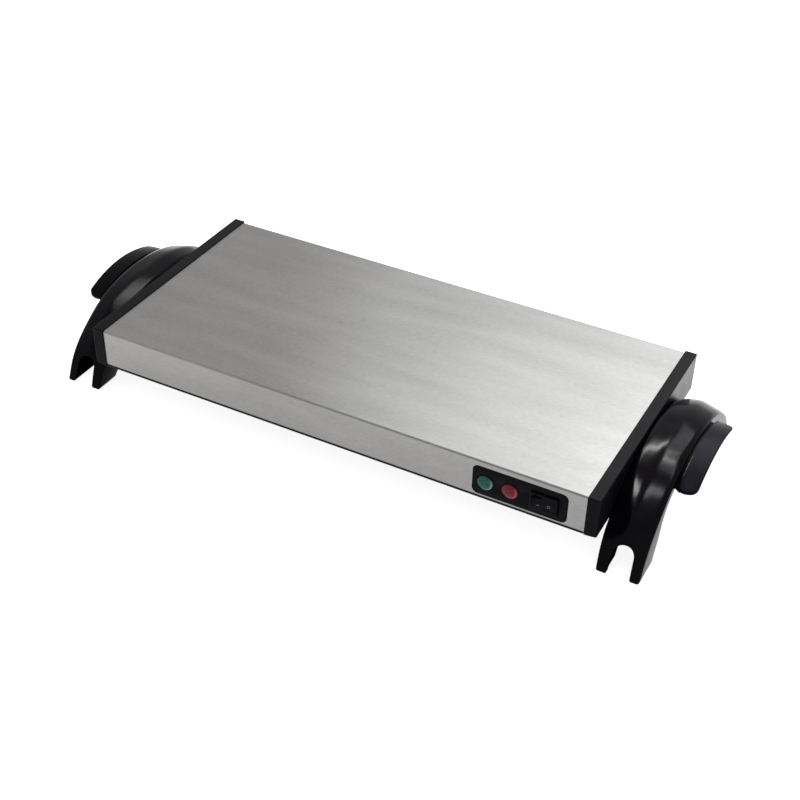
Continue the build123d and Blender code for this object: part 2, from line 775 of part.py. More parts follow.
# Switch frame: a box with a bezel, trunnion holes above and below, and its contacts' floor
with BuildPart() as switch_frame:
    with BuildSketch(Plane.XZ.offset(-switch_face_y)):
        with Locations((switch_x, indicator_z)):
            RectangleRounded(frame_box_length + 2 * frame_lip_x, frame_box_width + 2 * frame_lip_z, frame_lip_corner)
    extrude(amount=-frame_lip)
    with BuildSketch(panel_face):
        with Locations((switch_x, indicator_z)):
            Rectangle(frame_box_length, frame_box_width)
    extrude(amount=-frame_depth)
    with BuildSketch(Plane.XZ.offset(-switch_face_y)):
        with Locations((switch_x, indicator_z)):
            Rectangle(aperture_length, aperture_width)
    extrude(amount=-(frame_lip + frame_depth - frame_floor), mode=Mode.SUBTRACT)
    with BuildSketch(Plane(origin=(switch_x, pivot_y, indicator_z), z_dir=(0, 0, 1))):
        Circle(trunnion / 2 + trunnion_gap)
    extrude(amount=aperture_width / 2 + frame_wall, both=True, mode=Mode.SUBTRACT)
finish(switch_frame, "switch_frame")

# Switch rocker, drawn level and then set to its off position
rocker_arc_y = rocker_face + rocker_radius * sin(radians(rocker_tilt))
rocker_end_x = sqrt(rocker_radius**2 - rocker_arc_y**2)
rocker_foot_x = sqrt(rocker_radius**2 - rocker_floor**2)
with BuildPart() as rocker_level:
    with BuildSketch(Plane(origin=(switch_x, pivot_y, indicator_z - rocker_width / 2), z_dir=(0, 0, 1))):
        with BuildLine():
            Polyline((rocker_end_x, -rocker_arc_y), (0, -rocker_face), (-rocker_end_x, -rocker_arc_y))
            ThreePointArc((-rocker_end_x, -rocker_arc_y), (-rocker_radius, 0), (-rocker_foot_x, rocker_floor))
            Polyline(
                (-rocker_foot_x, rocker_floor),
                (-rocker_nib_half, rocker_floor),
                (-rocker_nib_half, rocker_nib),
                (rocker_nib_half, rocker_nib),
                (rocker_nib_half, rocker_floor),
                (rocker_foot_x, rocker_floor),
            )
            ThreePointArc((rocker_foot_x, rocker_floor), (rocker_radius, 0), (rocker_end_x, -rocker_arc_y))
        make_face()
    extrude(amount=rocker_width)
    with BuildSketch(Plane(origin=(switch_x, pivot_y, indicator_z), z_dir=(0, 0, 1))):
        Circle(trunnion / 2)
    extrude(amount=rocker_width / 2 + trunnion_reach, both=True)
with BuildPart() as switch_rocker:
    add(rocker_level.part.rotate(Axis((switch_x, pivot_y, indicator_z), (0, 0, 1)), rocker_tilt))
finish(switch_rocker, "switch_rocker")

# Switch contacts: three blades through the floor of the frame, each with a contact button inside
with BuildPart() as switch_contacts:
    with BuildSketch(Plane.XZ.offset(-frame_back_y)):
        with Locations((switch_x, indicator_z)):
            with GridLocations(switch_blade_pitch, 0, 3, 1):
                Rectangle(switch_blade_thickness, switch_blade_width)
    extrude(amount=-switch_blade_length)
    with BuildSketch(Plane.XZ.offset(-(frame_back_y - frame_floor))):
        with Locations((switch_x, indicator_z)):
            with GridLocations(switch_blade_pitch, 0, 3, 1):
                Circle(contact_diameter / 2)
    extrude(amount=contact_height)
finish(switch_contacts, "switch_contacts")

# Heater layers, each with clearance holes for the studs
heater_layers = (
    ("heat_spreader", spreader_low, spreader_thickness),
    ("upper_mica", upper_mica_low, mica_thickness),
    ("heater_core", core_low, core_thickness),
    ("lower_mica", lower_mica_low, mica_thickness),
)
for layer_name, layer_low, layer_thickness in heater_layers:
    with BuildPart() as layer:
        with BuildSketch(Plane.XY.offset(layer_low)):
            with Locations((heater_x, 0)):
                Rectangle(heater_length, heater_depth)
            with Locations(*stud_places):
                Circle(stud_diameter / 2 + stud_gap, mode=Mode.SUBTRACT)
        extrude(amount=layer_thickness)
    finish(layer, layer_name)

# Insulation blanket, pierced for the studs and for the tips of the small screws
with BuildPart() as insulation_blanket:
    with BuildSketch(Plane.XY.offset(blanket_low)):
        with Locations((heater_x, 0)):
            Rectangle(heater_length, heater_depth)
        with Locations(*stud_places):
            Circle(stud_diameter / 2 + stud_gap, mode=Mode.SUBTRACT)
        with Locations(*ear_screw_places, *clip_screw_places):
            Circle(small_shank / 2 + stud_gap, mode=Mode.SUBTRACT)
    extrude(amount=blanket_thickness)
finish(insulation_blanket, "insulation_blanket")

# Heater ribbon: one flat strip laid to and fro on the core
with BuildPart() as heater_ribbon:
    with BuildSketch(Plane.XY.offset(ribbon_low)):
        ribbon_start = heater_x - (ribbon_count - 1) * ribbon_pitch / 2
        for turn in range(ribbon_count):
            with Locations((ribbon_start + turn * ribbon_pitch, 0)):
                Rectangle(ribbon_width, 2 * ribbon_half)
        for turn in range(ribbon_count - 1):
            end = ribbon_half - ribbon_width / 2
            with Locations((ribbon_start + (turn + 0.5) * ribbon_pitch, end * (-1) ** turn)):
                Rectangle(ribbon_pitch + ribbon_width, ribbon_width)
    extrude(amount=ribbon_thickness)
finish(heater_ribbon, "heater_ribbon")

# Pressure plate with its long edges turned down
with BuildPart() as pressure_plate:
    with BuildSketch(Plane.XY.offset(pressure_low)):
        with Locations((heater_x, 0)):
            Rectangle(heater_length, heater_depth)
    extrude(amount=pressure_sheet)
    with BuildSketch(Plane.XY.offset(pressure_low)):
        with Locations((heater_x, 0)):
            Rectangle(heater_length, heater_depth)
            Rectangle(heater_length + 2 * pressure_sheet, heater_depth - 2 * pressure_sheet, mode=Mode.SUBTRACT)
    extrude(amount=-pressure_rim)
    with BuildSketch(Plane.XY.offset(pressure_low)):
        with Locations(*stud_places):
            Circle(stud_diameter / 2 + stud_gap)
        with Locations(*ear_screw_places, *clip_screw_places):
            Circle(small_shank / 2 + pilot_clearance)
    extrude(amount=pressure_sheet, mode=Mode.SUBTRACT)
finish(pressure_plate, "pressure_plate")

# Studs under the top plate, and the nuts that pull the pressure plate up
with BuildPart() as heater_studs:
    with BuildSketch(Plane.XY.offset(stud_low)):
        with Locations(*stud_places):
            Circle(stud_diameter / 2)
    extrude(amount=ceiling - stud_low)
finish(heater_studs, "heater_studs")

with BuildPart() as heater_nuts:
    with BuildSketch(Plane.XY.offset(nut_low)):
        with Locations(*stud_places):
            RegularPolygon(nut_across / 2, 6, major_radius=False)
            Circle(stud_diameter / 2 + pilot_clearance, mode=Mode.SUBTRACT)
    extrude(amount=nut_height)
finish(heater_nuts, "heater_nuts")

# Thermostat: a metal can against the pressure plate, a moulded body, an ear plate and two blades
with BuildPart() as thermostat:
    with BuildSketch(Plane.XY.offset(pressure_low)):
        with Locations((thermostat_x, 0)):
            Circle(thermostat_can / 2)
    extrude(amount=-thermostat_can_height)
    with BuildSketch(Plane.XY.offset(thermostat_z)):
        with Locations((thermostat_x, 0)):
            Circle(thermostat_body / 2)
    extrude(amount=-thermostat_body_height)
    with BuildSketch(Plane.XY.offset(pressure_low)):
        with Locations((thermostat_x, 0)):
            SlotCenterToCenter(thermostat_ear, thermostat_ear_width)
            with GridLocations(thermostat_ear, 0, 2, 1):
                Circle(small_shank / 2 + pilot_clearance, mode=Mode.SUBTRACT)
    extrude(amount=-thermostat_ear_thickness)
    with BuildSketch(Plane.YZ.offset(thermostat_x - thermostat_blade_width / 2)):
        with Locations((0, thermostat_z - thermostat_body_height / 2)):
            Rectangle(thermostat_body + 2 * thermostat_blade_length, thermostat_blade_thickness)
    extrude(amount=thermostat_blade_width)
finish(thermostat, "thermostat")

# Thermal fuse with its two leads, held up by a saddle clip
with BuildPart() as thermal_fuse:
    with BuildSketch(Plane.YZ.offset(fuse_x - fuse_length / 2)):
        with Locations((0, fuse_z)):
            Circle(fuse_diameter / 2)
    extrude(amount=fuse_length)
    with BuildSketch(Plane.YZ.offset(fuse_x - fuse_length / 2 - fuse_lead_length)):
        with Locations((0, fuse_z)):
            Circle(fuse_lead / 2)
    extrude(amount=fuse_length + 2 * fuse_lead_length)
finish(thermal_fuse, "thermal_fuse")

with BuildPart() as fuse_clip:
    with BuildSketch(Plane.YZ.offset(fuse_x - clip_width / 2)):
        with Locations((0, fuse_z)):
            Circle(clip_radius + clip_sheet)
        with Locations((0, (pressure_low + fuse_z) / 2)):
            Rectangle(2 * (clip_radius + clip_sheet), pressure_low - fuse_z)
        with Locations((0, pressure_low - clip_sheet / 2)):
            Rectangle(2 * clip_half, clip_sheet)
        with Locations((0, fuse_z)):
            Circle(clip_radius, mode=Mode.SUBTRACT)
        with Locations((0, (pressure_low + fuse_z) / 2)):
            Rectangle(2 * clip_radius, pressure_low - fuse_z, mode=Mode.SUBTRACT)
        with Locations((0, pressure_low + fuse_diameter / 2)):
            Rectangle(2 * clip_half, fuse_diameter, mode=Mode.SUBTRACT)
    extrude(amount=clip_width)
    with BuildSketch(Plane.XY.offset(pressure_low)):
        with Locations((fuse_x, clip_screw_y), (fuse_x, -clip_screw_y)):
            Circle(small_shank / 2 + pilot_clearance)
    extrude(amount=-clip_sheet, mode=Mode.SUBTRACT)
finish(fuse_clip, "fuse_clip")

# Small screws for the thermostat's ears and the fuse clip's feet, up into the pressure plate
ear_seats = [(x, y, pressure_low - thermostat_ear_thickness) for x, y in ear_screw_places]
foot_seats = [(x, y, pressure_low - clip_sheet) for x, y in clip_screw_places]
with BuildPart() as small_screws:
    with Locations(*ear_seats, *foot_seats):
        Cylinder(small_head / 2, small_head_height, align=(Align.CENTER, Align.CENTER, Align.MAX))
        Cylinder(small_shank / 2, small_shank_length, align=(Align.CENTER, Align.CENTER, Align.MIN))
finish(small_screws, "small_screws")

# Appliance inlet: a flange outside the rear skirt, a body through it and a deep mouth
with BuildPart() as power_inlet:
    with BuildSketch(rear_face):
        with Locations((inlet_x, sleeve_middle)):
            RectangleRounded(inlet_flange_length, inlet_flange_height, inlet_flange_corner)
    extrude(amount=-inlet_flange_thickness)
    with BuildSketch(rear_face):
        with Locations((inlet_x, sleeve_middle)):
            RectangleRounded(inlet_body_length, inlet_body_height, inlet_body_corner)
    extrude(amount=inlet_body_depth)
    with BuildSketch(Plane.XZ.offset(-(rear_y + inlet_flange_thickness))) as mouth:
        with Locations((inlet_x, sleeve_middle)):
            Rectangle(inlet_mouth_length, inlet_mouth_height)
        chamfer(mouth.vertices().group_by(Axis.Z)[-1], inlet_mouth_bevel)
    extrude(amount=inlet_mouth_depth, mode=Mode.SUBTRACT)
    with BuildSketch(Plane.XZ.offset(-(rear_y + inlet_flange_thickness))):
        with Locations((inlet_x, sleeve_middle)):
            with GridLocations(inlet_screw_pitch, 0, 2, 1):
                Circle(inlet_screw_shank / 2 + screw_clearance)
    extrude(amount=inlet_flange_thickness, mode=Mode.SUBTRACT)
    with BuildSketch(Plane.XZ.offset(-(rear_y + inlet_flange_thickness))):
        with Locations(*inlet_pin_places):
            Rectangle(inlet_pin_width, inlet_pin_height)
    extrude(amount=inlet_flange_thickness + inlet_body_depth, mode=Mode.SUBTRACT)
finish(power_inlet, "power_inlet")

# Inlet pins, which stand in the mouth and end as tails inside
with BuildPart() as inlet_pins:
    with BuildSketch(Plane.XZ.offset(-(mouth_floor_y + inlet_pin_length))):
        with Locations(*inlet_pin_places):
            Rectangle(inlet_pin_width, inlet_pin_height)
    extrude(amount=mouth_floor_y + inlet_pin_length - inlet_tail_y)
finish(inlet_pins, "inlet_pins")

# Inlet screws with their nuts inside the rear skirt
with BuildPart() as inlet_screws:
    with BuildSketch(Plane.XZ.offset(-(rear_y + inlet_flange_thickness))):
        with Locations((inlet_x, sleeve_middle)):
            with GridLocations(inlet_screw_pitch, 0, 2, 1):
                Circle(inlet_screw_head / 2)
    extrude(amount=-inlet_screw_head_height)
    chamfer(inlet_screws.edges().group_by(Axis.Y)[-1], screw_head_round)
    with BuildSketch(Plane.XZ.offset(-(rear_y + inlet_flange_thickness))):
        with Locations((inlet_x, sleeve_middle)):
            with GridLocations(inlet_screw_pitch, 0, 2, 1):
                Circle(inlet_screw_shank / 2)
    extrude(amount=inlet_screw_length)
finish(inlet_screws, "inlet_screws")

with BuildPart() as inlet_nuts:
    with BuildSketch(Plane.XZ.offset(-rear_inside_y)):
        with Locations((inlet_x, sleeve_middle)):
            with GridLocations(inlet_screw_pitch, 0, 2, 1):
                RegularPolygon(inlet_nut_across / 2, 6, major_radius=False)
                Circle(inlet_screw_shank / 2 + pilot_clearance, mode=Mode.SUBTRACT)
    extrude(amount=inlet_nut_height)
finish(inlet_nuts, "inlet_nuts")

# Terminal block: a moulded base with three towers, tunnelled for the leads
with BuildPart() as terminal_block:
    with BuildSketch(Plane.XY.offset(cover_top)):
        with Locations((block_x, block_y)):
            Rectangle(block_length, block_width)
    extrude(amount=block_base_height)
    with BuildSketch(Plane.XY.offset(cover_top)):
        with Locations(*block_places):
            Rectangle(block_way_length, block_width)
    extrude(amount=block_height)
    with BuildSketch(Plane.XZ.offset(-(block_y + block_width / 2))):
        with Locations(*[(x, cover_top + block_height / 2) for x, _ in block_places]):
            Circle(block_tunnel / 2)
    extrude(amount=block_width, mode=Mode.SUBTRACT)
    with BuildSketch(Plane.XY.offset(cover_top + block_height)):
        with Locations(*block_screw_places):
            Circle(block_screw / 2 + pilot_clearance)
    extrude(amount=-block_height / 2, mode=Mode.SUBTRACT)
finish(terminal_block, "terminal_block")

with BuildPart() as terminal_screws:
    with BuildSketch(Plane.XY.offset(cover_top + block_height - block_screw_sink)):
        with Locations(*block_screw_places):
            Circle(block_screw / 2)
    extrude(amount=-(block_height - block_tunnel) / 2)
finish(terminal_screws, "terminal_screws")

# Earth stud on the bottom cover, with a tag clamped between two nuts
with BuildPart() as earth_stud:
    with BuildSketch(Plane.XY.offset(cover_top)):
        with Locations((earth_x, earth_y)):
            Circle(stud_diameter / 2)
    extrude(amount=earth_stud_length)
finish(earth_stud, "earth_stud")

with BuildPart() as earth_nuts:
    for nut_z in (cover_top, cover_top + nut_height + earth_tag_thickness):
        with BuildSketch(Plane.XY.offset(nut_z)):
            with Locations((earth_x, earth_y)):
                RegularPolygon(nut_across / 2, 6, major_radius=False)
                Circle(stud_diameter / 2 + pilot_clearance, mode=Mode.SUBTRACT)
        extrude(amount=nut_height)
finish(earth_nuts, "earth_nuts")

with BuildPart() as earth_tag:
    with BuildSketch(Plane.XY.offset(cover_top + nut_height)):
        with Locations((earth_x, earth_y)):
            Circle(earth_tag_ring / 2)
        with Locations((earth_x, earth_y + earth_tag_length / 2)):
            Rectangle(earth_tag_width, earth_tag_length)
        with Locations((earth_x, earth_y)):
            Circle(stud_diameter / 2 + pilot_clearance, mode=Mode.SUBTRACT)
    extrude(amount=earth_tag_thickness)
finish(earth_tag, "earth_tag")
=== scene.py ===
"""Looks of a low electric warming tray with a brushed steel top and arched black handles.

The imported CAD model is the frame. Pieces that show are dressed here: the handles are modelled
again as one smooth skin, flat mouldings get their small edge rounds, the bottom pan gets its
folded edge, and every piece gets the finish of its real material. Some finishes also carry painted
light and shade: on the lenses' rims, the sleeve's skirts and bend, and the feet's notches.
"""

import json
import logging
import math
from collections.abc import Sequence
from dataclasses import dataclass, field, replace
from enum import Enum, IntEnum

import bpy
import numpy as np
from mathutils import Matrix, Vector

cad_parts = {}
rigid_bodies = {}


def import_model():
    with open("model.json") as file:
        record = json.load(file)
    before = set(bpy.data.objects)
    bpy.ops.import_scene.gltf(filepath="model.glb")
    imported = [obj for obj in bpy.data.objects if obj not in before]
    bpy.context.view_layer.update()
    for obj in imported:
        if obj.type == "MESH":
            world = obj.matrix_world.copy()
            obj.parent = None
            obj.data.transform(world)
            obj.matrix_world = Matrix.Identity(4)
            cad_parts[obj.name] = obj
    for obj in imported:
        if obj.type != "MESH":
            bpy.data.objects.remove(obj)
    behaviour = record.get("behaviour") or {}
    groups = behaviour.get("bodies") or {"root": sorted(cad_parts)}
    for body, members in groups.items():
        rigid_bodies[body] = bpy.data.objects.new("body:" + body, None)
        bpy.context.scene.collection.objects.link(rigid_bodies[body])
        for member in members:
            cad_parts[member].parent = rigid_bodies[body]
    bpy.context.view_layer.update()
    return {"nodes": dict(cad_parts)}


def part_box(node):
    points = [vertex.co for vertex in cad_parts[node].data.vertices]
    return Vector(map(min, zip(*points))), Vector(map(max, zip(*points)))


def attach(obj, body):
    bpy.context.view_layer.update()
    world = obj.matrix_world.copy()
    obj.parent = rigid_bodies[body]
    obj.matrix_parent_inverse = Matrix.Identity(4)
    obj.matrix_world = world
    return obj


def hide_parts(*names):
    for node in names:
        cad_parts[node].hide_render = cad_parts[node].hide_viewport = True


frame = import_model()

LOG = logging.getLogger("warming_tray")
MM = 0.001
TRAY = "tray"
ROCKER = "rocker"
WHITE = (1.0, 1.0, 1.0, 1.0)

Piece = bpy.types.Object
Tree = bpy.types.NodeTree
Node = bpy.types.Node
Socket = bpy.types.NodeSocket
Point = tuple[float, float]
Row = tuple[float, ...]
# A light's two angles in degrees, its size in metres and its radiance
Box = tuple[float, float, Point, float]

# Sockets of the Mix node, whose names repeat
MIX_A, MIX_B = 2, 3
MIX_A_COLOUR, MIX_B_COLOUR, MIX_COLOUR = 6, 7, 2
# Noise keeps near its middle, so this range of it is spread over a whole pattern
NOISE_LOW, NOISE_HIGH = 0.3, 0.7
PATCH_DETAIL, GRAIN_DETAIL = 3.0, 2.0

# Points this close are one point, where a skin is closed and where a solid is copied
SKIN_WELD_MM = 0.005
SOLID_WELD_MM = 0.002
# Triangles of a solid that meet flatter than this are one face
FLAT_DEGREES = 0.5
# Edges of the pieces modelled here that are flatter than this are shaded smooth
SMOOTH_DEGREES = 40.0
# Places along a curve that agree to this many decimals are one place
SAME_DIGITS = 6
# A corner's round takes no more than this share of a side, and no side counts as shorter than this
SIDE_SHARE = 0.48
SHORTEST = 1e-9


class Side(Enum):
    """The two ends of the tray, by the sign of X."""

    RIGHT = 1
    LEFT = -1

    @property
    def label(self) -> str:
        """The word that the CAD nodes of this end start with."""
        return self.name.lower()


class Axis(IntEnum):
    """The axis that a prism stands along, by its place in a point."""

    X = 0
    Y = 1
    Z = 2


def linear(colour: str) -> tuple[float, float, float, float]:
    """Turn an sRGB hex colour to linear.

    Args:
        colour: Six hex digits.

    Returns:
        Linear red, green and blue, and an alpha of 1.
    """
    channels = [int(colour[i : i + 2], 16) / 255 for i in (0, 2, 4)]
    return (*[c / 12.92 if c <= 0.04045 else ((c + 0.055) / 1.055) ** 2.4 for c in channels], 1.0)


def add_node(tree: Tree, kind: str, inputs: dict | None = None, **settings: object) -> Node:
    """Add a node with its settings, values and links.

    Args:
        tree: The node tree that it goes into.
        kind: The node's type.
        inputs: Values, or output sockets to link, by the input's name or number.
        **settings: Properties of the node itself.

    Returns:
        The new node.
    """
    node = tree.nodes.new(kind)
    for name, value in settings.items():
        setattr(node, name, value)
    for key, value in (inputs or {}).items():
        if isinstance(value, Socket):
            tree.links.new(value, node.inputs[key])
        else:
            node.inputs[key].default_value = value
    return node


def per_metre(size_mm: float) -> float:
    """Scale of a pattern whose features are size_mm apart, on coordinates in metres."""
    return 1 / (size_mm * MM)


@dataclass(frozen=True)
class Finish:
    """A real material and how its surface was made.

    Its colour drifts to a second one over patches, its roughness drifts with the colour, and a fine
    grain makes the bump. The grain can be stretched along X, as brushing is.
    """

    name: str
    colour: str
    second: str
    roughness: float
    drift: float = 0.04
    patch_mm: float = 30.0
    grain_mm: float = 0.8
    stretch: float = 1.0
    depth_mm: float = 0.01
    streak: float = 0.0
    metallic: float = 0.0
    specular: float = 0.5
    anisotropy: float = 0.0
    coat: float = 0.0
    transmission: float = 0.0

    def material(self) -> bpy.types.Material:
        """Make the material, or find it if it is made already.

        Returns:
            The material.
        """
        found = bpy.data.materials.get(self.name)
        if found:
            return found
        made = bpy.data.materials.new(self.name)
        made.use_nodes = True
        tree = made.node_tree
        tree.nodes.clear()
        shader = add_node(
            tree,
            "ShaderNodeBsdfPrincipled",
            {
                "Metallic": self.metallic,
                "Specular IOR Level": self.specular,
                "Anisotropic": self.anisotropy,
                "Coat Weight": self.coat,
                "Transmission Weight": self.transmission,
            },
        )
        self.dress(tree, add_node(tree, "ShaderNodeTexCoord").outputs["Object"], shader)
        add_node(tree, "ShaderNodeOutputMaterial", {"Surface": shader.outputs["BSDF"]})
        return made

    def dress(self, tree: Tree, place: Socket, shader: Node) -> None:
        """Link the colour, roughness and bump.

        Args:
            tree: The material's nodes.
            place: Object coordinates.
            shader: The Principled node.
        """
        drawn = add_node(tree, "ShaderNodeMapping", {"Vector": place, "Scale": (1 / self.stretch, 1.0, 1.0)})
        along = drawn.outputs["Vector"]
        patches, grain = (
            add_node(
                tree, "ShaderNodeTexNoise", {"Vector": along, "Scale": per_metre(apart), "Detail": detail}
            ).outputs["Fac"]
            for apart, detail in ((self.patch_mm, PATCH_DETAIL), (self.grain_mm, GRAIN_DETAIL))
        )
        blend = add_node(
            tree, "ShaderNodeMix", {"Factor": self.streak, MIX_A: patches, MIX_B: grain}
        ).outputs["Result"]
        spread = add_node(
            tree, "ShaderNodeMapRange", {"Value": blend, "From Min": NOISE_LOW, "From Max": NOISE_HIGH}
        )
        colour = add_node(
            tree,
            "ShaderNodeMix",
            {
                "Factor": spread.outputs["Result"],
                MIX_A_COLOUR: linear(self.colour),
                MIX_B_COLOUR: linear(self.second),
            },
            data_type="RGBA",
        )
        tree.links.new(colour.outputs[MIX_COLOUR], shader.inputs["Base Color"])
        rough = add_node(
            tree,
            "ShaderNodeMapRange",
            {
                "Value": spread.outputs["Result"],
                "To Min": self.roughness - self.drift,
                "To Max": self.roughness + self.drift,
            },
        )
        tree.links.new(rough.outputs["Result"], shader.inputs["Roughness"])
        relief = {"Height": grain, "Strength": 1.0, "Distance": self.depth_mm * MM}
        bump = add_node(tree, "ShaderNodeBump", relief)
        tree.links.new(bump.outputs["Normal"], shader.inputs["Normal"])


@dataclass(frozen=True)
class BrushedSheet(Finish):
    """Metal sheet brushed along X: the marks stretch reflections across them."""

    def dress(self, tree: Tree, place: Socket, shader: Node) -> None:
        """Link the pattern, and turn the gloss across the brushing.

        Args:
            tree: The material's nodes.
            place: Object coordinates.
            shader: The Principled node.
        """
        super().dress(tree, place, shader)
        across = add_node(tree, "ShaderNodeTangent", direction_type="RADIAL", axis="X")
        tree.links.new(across.outputs["Tangent"], shader.inputs["Tangent"])


@dataclass(frozen=True)
class BentSheet(BrushedSheet):
    """Brushed sheet at a bend, with painted shade along it that darkens towards +X."""

    # The colour at the -X end, about that of the flat sheet, from which the painted shade darkens
    start: str = "808080"
    reach_mm: tuple[float, float] = (-100.0, 100.0)

    def dress(self, tree: Tree, place: Socket, shader: Node) -> None:
        """Link the pattern, and let its colour run from the first one to its own along X, which paints the
        shade.

        Args:
            tree: The material's nodes.
            place: Object coordinates.
            shader: The Principled node.
        """
        super().dress(tree, place, shader)
        own = shader.inputs["Base Color"].links[0].from_socket
        along = add_node(tree, "ShaderNodeSeparateXYZ", {"Vector": place}).outputs["X"]
        low, high = (reach * MM for reach in self.reach_mm)
        share = add_node(tree, "ShaderNodeMapRange", {"Value": along, "From Min": low, "From Max": high})
        colour = add_node(
            tree,
            "ShaderNodeMix",
            {"Factor": share.outputs["Result"], MIX_A_COLOUR: linear(self.start), MIX_B_COLOUR: own},
            data_type="RGBA",
        )
        tree.links.new(colour.outputs[MIX_COLOUR], shader.inputs["Base Color"])


@dataclass(frozen=True)
class LensMoulding(Finish):
    """Tinted lens over a lamp, with a painted highlight: a light colour on its rim, full towards one side,
    over the deeper tint inside.
    """

    # The colour of the painted highlight on the rim
    rim: str = "FFFFFF"
    centre_mm: tuple[float, float, float] = (0.0, 0.0, 0.0)
    radius_mm: float = 6.0
    facets_mm: float = 1.1
    # Where the painted highlight on the rim starts and where it is full, in radii from the centre
    rim_start: float = 0.78
    rim_full: float = 1.02
    # The side of the rim that the painted highlight lies on, and how far towards it the highlight is full
    lit_side: tuple[float, float, float] = (0.8, 0.0, -0.6)
    lit_full: float = 0.9

    def dress(self, tree: Tree, place: Socket, shader: Node) -> None:
        """Link a colour that follows the distance from the lens's centre, with the painted highlight on its
        rim, and the ribs moulded inside it.

        Args:
            tree: The material's nodes.
            place: Object coordinates.
            shader: The Principled node.
        """
        centred = add_node(
            tree,
            "ShaderNodeMapping",
            {
                "Vector": place,
                "Location": tuple(-c / self.radius_mm for c in self.centre_mm),
                "Scale": (per_metre(self.radius_mm),) * 3,
            },
        ).outputs["Vector"]
        reach = add_node(tree, "ShaderNodeVectorMath", {0: centred}, operation="LENGTH").outputs["Value"]
        ribs = add_node(
            tree,
            "ShaderNodeTexVoronoi",
            {"Vector": centred, "Scale": self.radius_mm / self.facets_mm},
            feature="F1",
        ).outputs["Distance"]
        body = add_node(
            tree,
            "ShaderNodeMix",
            {"Factor": ribs, MIX_A_COLOUR: linear(self.colour), MIX_B_COLOUR: linear(self.second)},
            data_type="RGBA",
        ).outputs[MIX_COLOUR]
        # The painted highlight: the rim colour, mixed in at the edge and towards the lit side
        glow = {"Value": reach, "From Min": self.rim_start, "From Max": self.rim_full}
        rim = add_node(tree, "ShaderNodeMapRange", glow)
        facing = {0: centred, 1: self.lit_side}
        side = add_node(tree, "ShaderNodeVectorMath", facing, operation="DOT_PRODUCT").outputs["Value"]
        share = {"Value": side, "From Min": 0.0, "From Max": self.lit_full}
        lit = add_node(tree, "ShaderNodeMapRange", share)
        both = {0: rim.outputs["Result"], 1: lit.outputs["Result"]}
        edge = add_node(tree, "ShaderNodeMath", both, operation="MULTIPLY").outputs["Value"]
        colour = add_node(
            tree,
            "ShaderNodeMix",
            {"Factor": edge, MIX_A_COLOUR: body, MIX_B_COLOUR: linear(self.rim)},
            data_type="RGBA",
        )
        tree.links.new(colour.outputs[MIX_COLOUR], shader.inputs["Base Color"])
        shader.inputs["Roughness"].default_value = self.roughness
        relief = {"Height": ribs, "Strength": 1.0, "Distance": self.depth_mm * MM}
        bump = add_node(tree, "ShaderNodeBump", relief)
        tree.links.new(bump.outputs["Normal"], shader.inputs["Normal"])


# Stainless sheet, brushed: fine streaks along X that blur reflections across them. Real scratches are
# 0.05 mm apart, drawn at 1.1 mm so that they show
BRUSHED_STAINLESS = BrushedSheet(
    "brushed_stainless_sheet", "757472", "8B8A88", 0.33, drift=0.02, patch_mm=24.0, grain_mm=1.1,
    stretch=5.0, depth_mm=0.003, streak=0.5, metallic=1.0, anisotropy=0.6,
)
# The same sheet on the skirts, brushed along their length: a lighter copy as painted light, standing in for
# the brighter reflection that they catch
SKIRT_PAINTED_LIGHT = replace(BRUSHED_STAINLESS, name="skirt_stainless_sheet", colour="82817F", second="929190")
# The same sheet where it is bent, with painted shade along the bend: from about the flat sheet's colour at
# -X to dark towards +X
BEND_PAINTED_SHADE = BentSheet(
    "bent_stainless_sheet", "454443", "504F4E", 0.36, drift=0.02, patch_mm=26.0, grain_mm=0.8,
    stretch=7.0, depth_mm=0.003, metallic=1.0, anisotropy=0.6, start="7B7A78", reach_mm=(-110.0, 150.0),
)
# Zinc-plated sheet, rolled and passivated: a cool grey with a cloudy drift
PLATED_SHEET = Finish(
    "zinc_plated_sheet", "8F9294", "A9ABAB", 0.42, patch_mm=18.0, grain_mm=1.5, depth_mm=0.01,
    metallic=1.0,
)
# Steel sheet, powder-coated black: satin with a faint orange-peel texture
COATED_SHEET = Finish(
    "black_powder_coated_sheet", "131417", "1C1D20", 0.5, patch_mm=16.0, grain_mm=1.2, depth_mm=0.03,
    specular=0.2,
)
# Zinc-plated screw steel, headed and tumbled: bright with fine dull marks
PLATED_SCREW = Finish(
    "zinc_plated_screw_steel", "A4A7AA", "C2C4C6", 0.28, patch_mm=3.0, grain_mm=0.4, depth_mm=0.01,
    metallic=1.0,
)
# ABS moulded in a finely etched tool: satin, with a leathery grain too fine to see one by one
SATIN_ABS = Finish(
    "satin_moulded_abs", "0B0B0E", "111115", 0.42, patch_mm=22.0, grain_mm=0.7, depth_mm=0.02,
    specular=0.045,
)
# The caps' end faces, moulded against a polished plate: glossier than the rest of the cap
POLISHED_ABS = replace(
    SATIN_ABS, name="polished_moulded_abs", roughness=0.3, grain_mm=0.9, depth_mm=0.001, specular=0.11
)
# Polypropylene moulded in a polished tool: glossy, with faint flow waves
GLOSS_HANDLE = Finish(
    "gloss_moulded_polypropylene", "020103", "050407", 0.16, drift=0.02, patch_mm=14.0, grain_mm=3.0,
    depth_mm=0.01, specular=0.045,
)
# The same polypropylene on the lips, whose mould steel is stoned: satin, and only its edges catch the light
SATIN_LIP = Finish(
    "satin_moulded_polypropylene", "06060A", "0A0A0F", 0.3, drift=0.03, patch_mm=20.0, grain_mm=0.8,
    depth_mm=0.003, specular=0.03,
)
